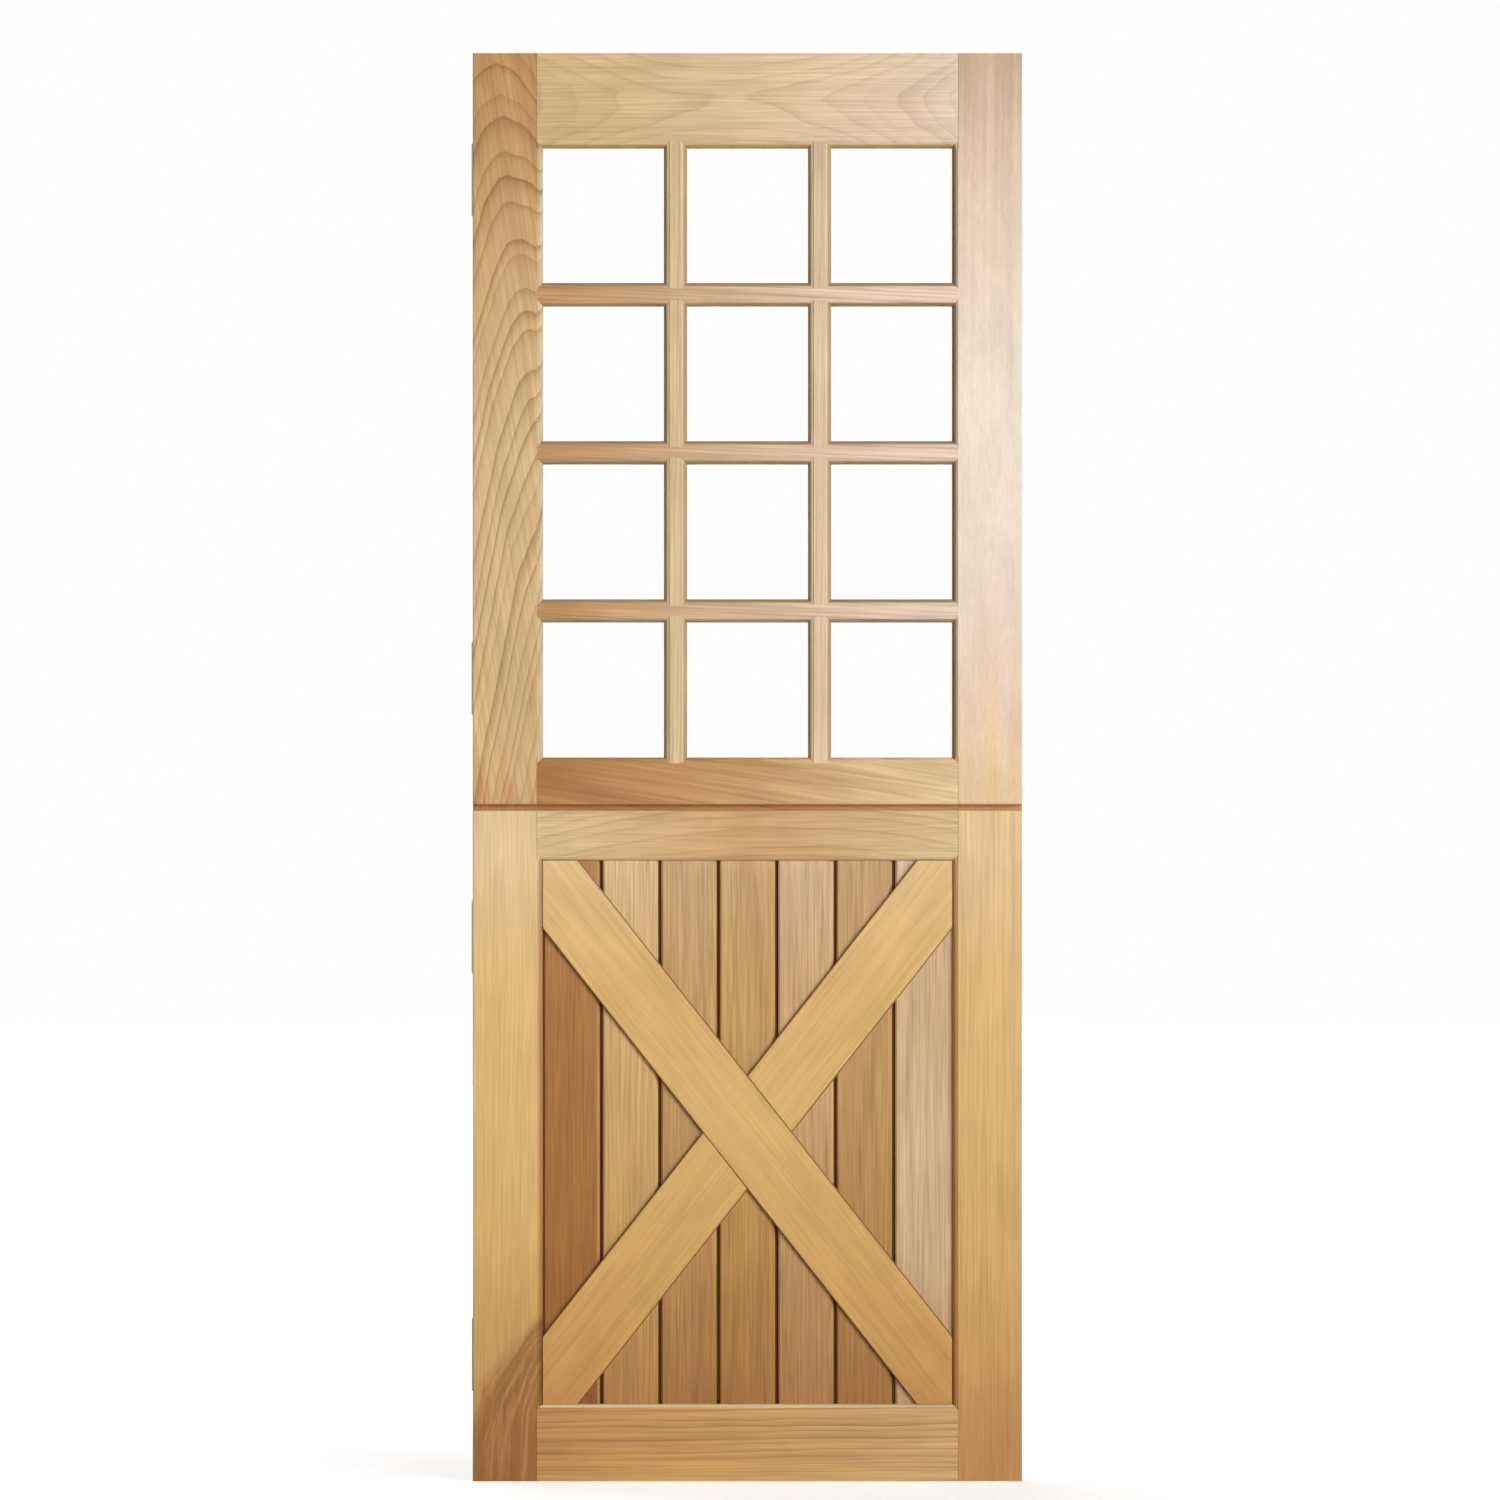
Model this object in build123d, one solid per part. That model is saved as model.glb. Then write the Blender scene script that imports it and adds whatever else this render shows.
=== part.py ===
from build123d import *
import os

# A stable door in two leaves, hung on butt hinges. Lengths are in millimetres.
# X runs across the door from the hinge side, Y from the front face to the back, Z up.
# The origin is at the middle of the door's foot, half way through its thickness.

# Leaves
DOOR_WIDTH = 762
DOOR_HEIGHT = 1981
DOOR_THICKNESS = 44
LOWER_LEAF_HEIGHT = 930
MEETING_GAP = 9

# Rebated meeting edge: a lip on the back of the upper leaf laps an upstand on the lower
UPSTAND_THICKNESS = 12
LIP_DROP = 15
LIP_CLEARANCE = 3
REBATE_CLEARANCE = 0.5

# Frame members, measured to the sight line of the moulding
STILE_WIDTH = 97
TOP_RAIL_WIDTH = 131
UPPER_MEETING_RAIL_WIDTH = 65
LOWER_MEETING_RAIL_WIDTH = 69
BOTTOM_RAIL_WIDTH = 107
MOULDING_WIDTH = 8
MOULDING_QUIRK = 1.2
ARRIS = 1

# Tenons of the rails and stub tenons of the glazing bars
TENON_THICKNESS = 14
TENON_LENGTH = 60
TENON_SHOULDER = 15
STUB_LENGTH = 15
STUB_SHOULDER = 3
JOINT_CLEARANCE = 0.2

# Glazing
PANE_COLUMNS = 3
PANE_ROWS = 4
BAR_WIDTH = 32
GLASS_DEPTH = 20
GLASS_THICKNESS = 4
GLASS_EDGE_CLEARANCE = 1.5
BEAD_SPLAY = 4
BEAD_CLEARANCE = 0.1

# Boarded panel
BOARD_COUNT = 7
BOARD_DEPTH = 10
BOARD_THICKNESS = 16
GROOVE_DEPTH = 10
BOARD_SLOT = 4.4
BOARD_SEAM = 0.5
WIDE_BEVEL = 5
NARROW_BEVEL = 2.2
TONGUE_LENGTH = 6
TONGUE_FRONT = 6.5
TONGUE_THICKNESS = 4.5

# Cross braces, with the lengths of their toes along rail and stile
BRACE_THICKNESS = 6
BRACE_RAIL_TOE = 50
BRACE_STILE_TOE = 95
BRACE_BEVEL = 0.8

# Butt hinges
HINGE_END_DISTANCE = 175
HINGE_HEIGHT = 100
HINGE_JOINT = 2
FLAP_REACH = 40
FLAP_THICKNESS = 3
FLAP_CLEARANCE = 0.5
KNUCKLE_COUNT = 5
KNUCKLE_RADIUS = 5
KNUCKLE_GAP = 0.8
KNUCKLE_STANDOFF = 0.5
PIN_RADIUS = 2.95
PIN_CLEARANCE = 0.05
PIN_HEAD_RADIUS = 4.5
PIN_HEAD_HEIGHT = 3
HOLE_RADIUS = 2.6
HOLE_SPACING_Y = 16
HOLE_FIRST_COLUMN = 16
JAMB_HOLE_SPACING_Z = 68
DOOR_HOLE_SPACING_Z = 44

# Countersunk wood screws of the hinges
SCREW_RADIUS = 2.3
SCREW_LENGTH = 32
SCREW_HEAD_RADIUS = 4.3
SCREW_HEAD_DEPTH = 1.7
SCREW_CLEARANCE = 0.1

# Flat bolt that ties the leaves together
BOLT_THROW = 30
BOLT_BAR_WIDTH = 16
BOLT_BAR_THICKNESS = 6
BOLT_BAR_BEVEL = 2
BOLT_PLATE_WIDTH = 40
BOLT_PLATE_THICKNESS = 2
BOLT_PLATE_EDGE = 5
BOLT_PLATE_CORNER = 3
BOLT_RISE = 6
GUIDE_LENGTH = 14
GUIDE_WALL = 2
GUIDE_CLEARANCE = 0.3
KNOB_RADIUS = 6
KNOB_NECK_RADIUS = 3.5
KNOB_NECK_HEIGHT = 2.5
KNOB_HEAD_HEIGHT = 6
KNOB_BEVEL = 1.5
KNOB_STOP = 1
KEEPER_DROP = 3
KEEPER_CLEARANCE = 1

# Small screws of the bolt and its keeper
SMALL_SCREW_RADIUS = 1.6
SMALL_SCREW_LENGTH = 13
SMALL_SCREW_HEAD_RADIUS = 3
SMALL_SCREW_HEAD_DEPTH = 1.3
SMALL_HOLE_RADIUS = 1.8
SMALL_SCREW_INSET = 5

# Cuts run past the faces that they open
OVERRUN = 10

# Outer faces of the door
LEFT = -DOOR_WIDTH / 2
RIGHT = DOOR_WIDTH / 2
FRONT = -DOOR_THICKNESS / 2
BACK = DOOR_THICKNESS / 2
THROUGH = (FRONT, BACK)

# Sight lines of the glazed opening and of the panel
SIGHT_X = (LEFT + STILE_WIDTH, RIGHT - STILE_WIDTH)
UPPER_FOOT = LOWER_LEAF_HEIGHT + MEETING_GAP
GLAZING_Z = (UPPER_FOOT + UPPER_MEETING_RAIL_WIDTH, DOOR_HEIGHT - TOP_RAIL_WIDTH)
PANEL_Z = (BOTTOM_RAIL_WIDTH, LOWER_LEAF_HEIGHT - LOWER_MEETING_RAIL_WIDTH)

# Flat shoulders of the members, one moulding width outside the sight lines
SHOULDER_X = (SIGHT_X[0] - MOULDING_WIDTH, SIGHT_X[1] + MOULDING_WIDTH)
GLAZING_SHOULDER_Z = (GLAZING_Z[0] - MOULDING_WIDTH, GLAZING_Z[1] + MOULDING_WIDTH)
PANEL_SHOULDER_Z = (PANEL_Z[0] - MOULDING_WIDTH, PANEL_Z[1] + MOULDING_WIDTH)

# Meeting edge
LIP_FOOT = UPPER_FOOT - LIP_DROP
LIP_Y = (FRONT + UPSTAND_THICKNESS + REBATE_CLEARANCE, BACK)
REBATE_FLOOR = LIP_FOOT - LIP_CLEARANCE

# Panes
PANE_WIDTH = (SIGHT_X[1] - SIGHT_X[0] - (PANE_COLUMNS - 1) * BAR_WIDTH) / PANE_COLUMNS
PANE_HEIGHT = (GLAZING_Z[1] - GLAZING_Z[0] - (PANE_ROWS - 1) * BAR_WIDTH) / PANE_ROWS
BAR_FLAT = BAR_WIDTH - 2 * MOULDING_WIDTH
GLASS_FRONT = FRONT + GLASS_DEPTH
GLASS_BACK = GLASS_FRONT + GLASS_THICKNESS

# Hinge axis, with the jamb flap's outer face on the plane of the jamb
JAMB_X = LEFT - HINGE_JOINT
AXIS_X = JAMB_X + KNUCKLE_RADIUS
AXIS_Y = BACK + KNUCKLE_RADIUS + KNUCKLE_STANDOFF
JAMB_FLAP_X = (JAMB_X, JAMB_X + FLAP_THICKNESS)
DOOR_FLAP_X = (AXIS_X + KNUCKLE_RADIUS - FLAP_THICKNESS, AXIS_X + KNUCKLE_RADIUS)
KNUCKLE_PITCH = HINGE_HEIGHT / KNUCKLE_COUNT
JAMB_KNUCKLES = range(0, KNUCKLE_COUNT, 2)
DOOR_KNUCKLES = range(1, KNUCKLE_COUNT, 2)
HOLE_Y = (AXIS_Y - HOLE_FIRST_COLUMN, AXIS_Y - HOLE_FIRST_COLUMN - HOLE_SPACING_Y)
UPPER_HINGES = (DOOR_HEIGHT - HINGE_END_DISTANCE, UPPER_FOOT + HINGE_END_DISTANCE)
LOWER_HINGES = (LOWER_LEAF_HEIGHT - HINGE_END_DISTANCE, HINGE_END_DISTANCE)

# Leaf bolt, on the middle of the lock stile's back
BOLT_X = (SHOULDER_X[1] + RIGHT) / 2
BOLT_FOOT = LIP_FOOT + BOLT_RISE
KNOB_RUN = 2 * KNOB_RADIUS + BOLT_THROW + 2 * KNOB_STOP
BOLT_PLATE_HEIGHT = 2 * BOLT_PLATE_EDGE + 2 * GUIDE_LENGTH + KNOB_RUN
BOLT_PLATE_Y = (BACK, BACK + BOLT_PLATE_THICKNESS)
BOLT_BAR_Y = (
    BOLT_PLATE_Y[1] + GUIDE_CLEARANCE,
    BOLT_PLATE_Y[1] + GUIDE_CLEARANCE + BOLT_BAR_THICKNESS,
)
BOLT_BAR_LENGTH = BOLT_PLATE_HEIGHT + BOLT_THROW
LOWER_GUIDE_FOOT = BOLT_FOOT + BOLT_PLATE_EDGE
UPPER_GUIDE_FOOT = LOWER_GUIDE_FOOT + GUIDE_LENGTH + KNOB_RUN
KNOB_Z = UPPER_GUIDE_FOOT - KNOB_STOP - KNOB_RADIUS
KEEPER_HEIGHT = 2 * BOLT_PLATE_EDGE + GUIDE_LENGTH
KEEPER_FOOT = REBATE_FLOOR - KEEPER_DROP - KEEPER_HEIGHT
KEEPER_STRAP_FOOT = KEEPER_FOOT + BOLT_PLATE_EDGE

# Quarter turns that bring a left-hand edge to each side of an opening
TURNS = {"left": 0, "top": 90, "right": 180, "bottom": 270}


def block(x, y, z):
    """Box between two values on each axis."""
    corner = (Align.MIN, Align.MIN, Align.MIN)
    return Pos(x[0], y[0], z[0]) * Box(x[1] - x[0], y[1] - y[0], z[1] - z[0], align=corner)


def around(centre, size):
    """Two values that lie half a size to each side of a centre."""
    return (centre - size / 2, centre + size / 2)


def grown(span, margin):
    """A span with a margin added at both ends."""
    return (span[0] - margin, span[1] + margin)


def prism(outline, y):
    """Solid with an outline of X and Z points, between two values of Y."""
    face = make_face(Polyline(*[(x, y[0], z) for x, z in outline], close=True))
    return extrude(face, amount=y[1] - y[0], dir=(0, 1, 0))


def mitred_edge(profile, opening, side, width, gap):
    """Strip along one side of an opening, with mitred ends.

    The profile is drawn for the left side of an opening centred on the origin.
    """
    x, z = opening
    reach, half_length = half_sizes(opening, side)
    outer = reach + width
    strip = extrude(profile, amount=half_length + width, both=True)
    mitre = prism(
        [
            (-outer, gap - half_length - width),
            (-reach, gap - half_length),
            (-reach, half_length - gap),
            (-outer, half_length + width - gap),
        ],
        (0, DOOR_THICKNESS),
    )
    place = Pos((x[0] + x[1]) / 2, FRONT, (z[0] + z[1]) / 2) * Rot(0, TURNS[side], 0)
    return place * (strip & mitre)


def half_sizes(opening, side):
    """Half the size across an edge of an opening, then half the size along it."""
    half_width, half_height = [(high - low) / 2 for low, high in opening]
    if side in ("left", "right"):
        return half_width, half_height
    return half_height, half_width


def moulded_edge(opening, side, depth):
    """Edge of a frame member: a quirk and an ovolo at the front, square behind."""
    reach, _ = half_sizes(opening, side)
    outer = reach + MOULDING_WIDTH
    ovolo = JernArc((-outer, MOULDING_QUIRK), (1, 0), MOULDING_WIDTH, 90)
    land = Polyline(ovolo @ 1, (-reach, depth), (-outer, depth), ovolo @ 0)
    profile = make_face(ovolo.edges() + land.edges())
    return mitred_edge(profile, opening, side, MOULDING_WIDTH, 0)


def bead(opening, side):
    """Splayed glazing bead that fills the rebate behind the glass."""
    reach, _ = half_sizes(opening, side)
    outer = reach + MOULDING_WIDTH - BEAD_CLEARANCE
    front = GLASS_DEPTH + GLASS_THICKNESS
    profile = make_face(
        Polyline(
            (-outer, front),
            (-reach, front),
            (-reach, DOOR_THICKNESS - BEAD_SPLAY),
            (BEAD_SPLAY - outer, DOOR_THICKNESS),
            (-outer, DOOR_THICKNESS),
            close=True,
        )
    )
    return mitred_edge(profile, opening, side, MOULDING_WIDTH, BEAD_CLEARANCE)


def pane_opening(column, row):
    """Sight lines of one pane, counted from the hinge side and from the top."""
    left = SIGHT_X[0] + column * (PANE_WIDTH + BAR_WIDTH)
    top = GLAZING_Z[1] - row * (PANE_HEIGHT + BAR_WIDTH)
    return (left, left + PANE_WIDTH), (top - PANE_HEIGHT, top)


def upright_bar_x(number):
    """Flat of an upright glazing bar."""
    first, _ = pane_opening(number, 0)
    return around(first[1] + BAR_WIDTH / 2, BAR_FLAT)


def level_bar_z(number):
    """Flat of a level glazing bar."""
    _, first = pane_opening(0, number)
    return around(first[0] - BAR_WIDTH / 2, BAR_FLAT)


def tenon_span(z):
    """Height of the tenon of a rail whose flat lies between two values of Z."""
    return grown(z, -TENON_SHOULDER)


def tenon(z, margin):
    """Tenons on both ends of a rail, or with a margin the mortises that take them."""
    x = grown(SHOULDER_X, TENON_LENGTH + margin)
    return block(x, grown(around(0, TENON_THICKNESS), margin), grown(tenon_span(z), margin))


def rail(z):
    """Rail with its tenons."""
    return block(SHOULDER_X, THROUGH, z) + tenon(z, 0)


def level_stub(number, margin):
    """Stub tenons of a level bar, or with a margin their mortises."""
    x = grown(SHOULDER_X, STUB_LENGTH + margin)
    z = grown(level_bar_z(number), margin - STUB_SHOULDER)
    return block(x, grown(around(0, TENON_THICKNESS), margin), z)


def upright_stub(number, margin):
    """Stub tenons of an upright bar, or with a margin their mortises."""
    x = grown(upright_bar_x(number), margin - STUB_SHOULDER)
    z = grown(GLAZING_SHOULDER_Z, STUB_LENGTH + margin)
    return block(x, grown(around(0, TENON_THICKNESS), margin), z)


def stile(side, z):
    """Flat body of a stile, with its outer arrises taken off."""
    x = (LEFT, SHOULDER_X[0]) if side == "left" else (SHOULDER_X[1], RIGHT)
    body = block(x, THROUGH, z)
    outer = body.edges().filter_by(Axis.Z).group_by(Axis.X)[0 if side == "left" else -1]
    return chamfer(outer, ARRIS)


def lip(member_x):
    """Lip that hangs from the back of the upper leaf's foot."""
    return block(member_x, LIP_Y, (LIP_FOOT, UPPER_FOOT))


def lip_rebate():
    """Cut that leaves the upstand on the front of the lower leaf's top."""
    y = (FRONT + UPSTAND_THICKNESS, BACK + OVERRUN)
    return block(grown((LEFT, RIGHT), OVERRUN), y, (REBATE_FLOOR, LOWER_LEAF_HEIGHT + OVERRUN))


def screw(radius, length, head_radius, head_depth):
    """Countersunk screw driven along +Z, with the top of its head at the origin."""
    base = (Align.CENTER, Align.CENTER, Align.MIN)
    head = Cone(head_radius, radius, head_depth, align=base)
    return head + Cylinder(radius, length, align=base)


def hinge_screw():
    """Screw of a door flap."""
    return screw(SCREW_RADIUS, SCREW_LENGTH, SCREW_HEAD_RADIUS, SCREW_HEAD_DEPTH)


def small_screw():
    """Screw of the bolt's plate and keeper."""
    return screw(
        SMALL_SCREW_RADIUS, SMALL_SCREW_LENGTH, SMALL_SCREW_HEAD_RADIUS, SMALL_SCREW_HEAD_DEPTH
    )


def screw_hole(radius, head_radius, head_depth, plate_thickness):
    """Countersunk hole through a plate along +Z, from the face that takes the head."""
    base = (Align.CENTER, Align.CENTER, Align.MIN)
    sink = Cone(head_radius + SCREW_CLEARANCE, radius, head_depth, align=base)
    return sink + Cylinder(radius, plate_thickness, align=base)


def pilot(radius, length):
    """Pilot hole in timber along +Z for a screw of one size."""
    base = (Align.CENTER, Align.CENTER, Align.MIN)
    return Cylinder(radius + SCREW_CLEARANCE, length + SCREW_CLEARANCE, align=base)


def jamb_hole_places():
    """Places of the jamb flap's holes, with +Z turned to the way the screws are driven."""
    rows = around(0, JAMB_HOLE_SPACING_Z)
    return [Pos(JAMB_FLAP_X[1], y, z) * Rot(0, -90, 0) for y in HOLE_Y for z in rows]


def door_hole_places():
    """Places of the door flap's holes, which stand clear of the jamb flap's."""
    rows = around(0, DOOR_HOLE_SPACING_Z)
    return [Pos(DOOR_FLAP_X[0], y, z) * Rot(0, 90, 0) for y in HOLE_Y for z in rows]


def flap(x, own_knuckles, other_knuckles):
    """Hinge flap with its knuckles, notched round those of the other flap."""
    half_height = HINGE_HEIGHT / 2
    body = block(x, (AXIS_Y - FLAP_REACH, AXIS_Y), (-half_height, half_height))
    notch = KNUCKLE_RADIUS + FLAP_CLEARANCE
    for number in other_knuckles:
        foot = number * KNUCKLE_PITCH - half_height
        body -= block(
            around(AXIS_X, 2 * notch), around(AXIS_Y, 2 * notch), (foot, foot + KNUCKLE_PITCH)
        )
    for number in own_knuckles:
        middle = (number + 1 / 2) * KNUCKLE_PITCH - half_height
        barrel = Cylinder(KNUCKLE_RADIUS, KNUCKLE_PITCH - KNUCKLE_GAP)
        body += Pos(AXIS_X, AXIS_Y, middle) * barrel
    return body - Pos(AXIS_X, AXIS_Y, 0) * Cylinder(PIN_RADIUS + PIN_CLEARANCE, 2 * HINGE_HEIGHT)


def jamb_flap():
    """Flap that a jamb takes, with its holes sunk from the side of the door."""
    body = flap(JAMB_FLAP_X, JAMB_KNUCKLES, DOOR_KNUCKLES)
    hole = screw_hole(HOLE_RADIUS, SCREW_HEAD_RADIUS, SCREW_HEAD_DEPTH, FLAP_THICKNESS)
    for place in jamb_hole_places():
        body -= place * hole
    return body


def door_flap():
    """Flap that the stile takes, with its holes sunk from the side of the jamb."""
    body = flap(DOOR_FLAP_X, DOOR_KNUCKLES, JAMB_KNUCKLES)
    hole = screw_hole(HOLE_RADIUS, SCREW_HEAD_RADIUS, SCREW_HEAD_DEPTH, FLAP_THICKNESS)
    for place in door_hole_places():
        body -= place * hole
    return body


def hinge_pin():
    """Pin with a button at each end."""
    shank = Cylinder(PIN_RADIUS, HINGE_HEIGHT)
    button = Cylinder(PIN_HEAD_RADIUS, PIN_HEAD_HEIGHT)
    rise = (HINGE_HEIGHT + PIN_HEAD_HEIGHT) / 2
    return Pos(AXIS_X, AXIS_Y, 0) * (shank + Pos(0, 0, rise) * button + Pos(0, 0, -rise) * button)


def hinge_housing():
    """Recess in a stile's edge for the closed hinge, with its pilot holes."""
    x = (LEFT - OVERRUN, DOOR_FLAP_X[1])
    y = (AXIS_Y - FLAP_REACH - FLAP_CLEARANCE, BACK + OVERRUN)
    recess = block(x, y, grown(around(0, HINGE_HEIGHT), FLAP_CLEARANCE))
    for place in door_hole_places():
        recess += place * pilot(SCREW_RADIUS, SCREW_LENGTH)
    return recess


def strap(foot, clearance):
    """Bridge on the back of a bolt plate, with the way for the bar cut through it."""
    inner_width = BOLT_BAR_WIDTH + 2 * clearance
    inner_top = BOLT_BAR_Y[1] + clearance
    z = (foot, foot + GUIDE_LENGTH)
    outer_width = inner_width + 2 * GUIDE_WALL
    bridge = block(around(BOLT_X, outer_width), (BOLT_PLATE_Y[1], inner_top + GUIDE_WALL), z)
    return bridge - block(around(BOLT_X, inner_width), (BOLT_PLATE_Y[1], inner_top), z)


def bolt_screw_places(z_values):
    """Places of the small screws beside the bar, with +Z turned into the timber."""
    inset = BOLT_PLATE_WIDTH / 2 - SMALL_SCREW_INSET
    columns = (BOLT_X - inset, BOLT_X + inset)
    return [Pos(x, BOLT_PLATE_Y[1], z) * Rot(90, 0, 0) for x in columns for z in z_values]


def back_plate(z, screw_places):
    """Plate with rounded corners and countersunk holes, flat on the back of a stile."""
    plate = block(around(BOLT_X, BOLT_PLATE_WIDTH), BOLT_PLATE_Y, z)
    plate = fillet(plate.edges().filter_by(Axis.Y), BOLT_PLATE_CORNER)
    hole = screw_hole(
        SMALL_HOLE_RADIUS, SMALL_SCREW_HEAD_RADIUS, SMALL_SCREW_HEAD_DEPTH, BOLT_PLATE_THICKNESS
    )
    for place in screw_places:
        plate -= place * hole
    return plate


def bolt_bar():
    """Flat bar with a bevelled nose and a turned knob."""
    z = (BOLT_FOOT, BOLT_FOOT + BOLT_BAR_LENGTH)
    bar = block(around(BOLT_X, BOLT_BAR_WIDTH), BOLT_BAR_Y, z)
    nose = bar.faces().sort_by(Axis.Z)[0].edges().filter_by(Axis.Y)
    bar = chamfer(nose, BOLT_BAR_BEVEL)
    base = (Align.CENTER, Align.CENTER, Align.MIN)
    neck = Cylinder(KNOB_NECK_RADIUS, KNOB_NECK_HEIGHT, align=base)
    head = Cylinder(KNOB_RADIUS, KNOB_HEAD_HEIGHT, align=base)
    head = chamfer(head.edges().sort_by(Axis.Z)[-1], KNOB_BEVEL)
    knob = neck + Pos(0, 0, KNOB_NECK_HEIGHT) * head
    return bar + Pos(BOLT_X, BOLT_BAR_Y[1], KNOB_Z) * Rot(-90, 0, 0) * knob


def board_outline(number):
    """Section of one board, tongued on its lock side and grooved on its hinge side.

    Depth is measured from the face of the boards. A wide bevel on the tongued side and a
    narrow one on the grooved side open the joint at the face.
    """
    pitch = (SIGHT_X[1] - SIGHT_X[0]) / BOARD_COUNT
    left = SIGHT_X[0] + number * pitch
    right = left + pitch
    slot = BOARD_SLOT / 2
    seam = BOARD_SEAM / 2
    tongue_back = TONGUE_FRONT + TONGUE_THICKNESS
    housed = GROOVE_DEPTH - JOINT_CLEARANCE
    if number == 0:
        hinge_side = [(left - housed, BOARD_THICKNESS), (left - housed, 0)]
    else:
        groove = left + TONGUE_LENGTH + JOINT_CLEARANCE
        hinge_side = [
            (left + seam, BOARD_THICKNESS),
            (left + seam, tongue_back + JOINT_CLEARANCE),
            (groove, tongue_back + JOINT_CLEARANCE),
            (groove, TONGUE_FRONT - JOINT_CLEARANCE),
            (left + slot, TONGUE_FRONT - JOINT_CLEARANCE),
            (left + slot, NARROW_BEVEL),
            (left + slot + NARROW_BEVEL, 0),
        ]
    if number == BOARD_COUNT - 1:
        lock_side = [(right + housed, 0), (right + housed, BOARD_THICKNESS)]
    else:
        lock_side = [
            (right - slot - WIDE_BEVEL, 0),
            (right - slot, WIDE_BEVEL),
            (right - slot, TONGUE_FRONT),
            (right + TONGUE_LENGTH, TONGUE_FRONT),
            (right + TONGUE_LENGTH, tongue_back),
            (right - seam, tongue_back),
            (right - seam, BOARD_THICKNESS),
        ]
    return hinge_side + lock_side


def board(number):
    """One board of the panel, housed at both ends in the rails."""
    z = grown(PANEL_Z, GROOVE_DEPTH - JOINT_CLEARANCE)
    face_y = FRONT + BOARD_DEPTH
    points = [(x, face_y + depth, z[0]) for x, depth in board_outline(number)]
    return extrude(make_face(Polyline(*points, close=True)), amount=z[1] - z[0], dir=(0, 0, 1))


def panel_groove():
    """Groove round the panel opening that houses the boards."""
    y = (FRONT + BOARD_DEPTH, FRONT + BOARD_DEPTH + BOARD_THICKNESS)
    return block(grown(SIGHT_X, GROOVE_DEPTH), grown(y, JOINT_CLEARANCE), grown(PANEL_Z, GROOVE_DEPTH))


def brace_corners():
    """Sides of the panel that the braces reach, just clear of the moulding."""
    return grown(SIGHT_X, -JOINT_CLEARANCE), grown(PANEL_Z, -JOINT_CLEARANCE)


def long_brace_outline():
    """Band from the panel's upper hinge corner to its lower lock corner."""
    (left, right), (foot, top) = brace_corners()
    return [
        (left, top),
        (left + BRACE_RAIL_TOE, top),
        (right, foot + BRACE_STILE_TOE),
        (right, foot),
        (right - BRACE_RAIL_TOE, foot),
        (left, top - BRACE_STILE_TOE),
    ]


def below_long_brace():
    """Outline of all that lies on the foot's side of the long brace's upper edge."""
    (left, right), (foot, top) = brace_corners()
    rail_toe = BRACE_RAIL_TOE + JOINT_CLEARANCE
    return [(left, foot), (right, foot), (right, foot + BRACE_STILE_TOE), (left + rail_toe, top), (left, top)]


def eased(brace):
    """Brace with the two long arrises of its face bevelled."""
    face = brace.faces().sort_by(Axis.Y)[0]
    return chamfer(face.edges().sort_by(SortBy.LENGTH)[-2:], BRACE_BEVEL)


def braces():
    """One brace in a length and two halves butted against it, at the same level."""
    y = (FRONT + BOARD_DEPTH - BRACE_THICKNESS, FRONT + BOARD_DEPTH)
    middle = (PANEL_Z[0] + PANEL_Z[1]) / 2
    half_turn = Pos(0, 0, middle) * Rot(0, 180, 0) * Pos(0, 0, -middle)
    whole = eased(prism(long_brace_outline(), y))
    crossing = prism([(-x, z) for x, z in long_brace_outline()], y)
    upper = eased(crossing - prism(below_long_brace(), y))
    return whole, upper, half_turn * upper


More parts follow.
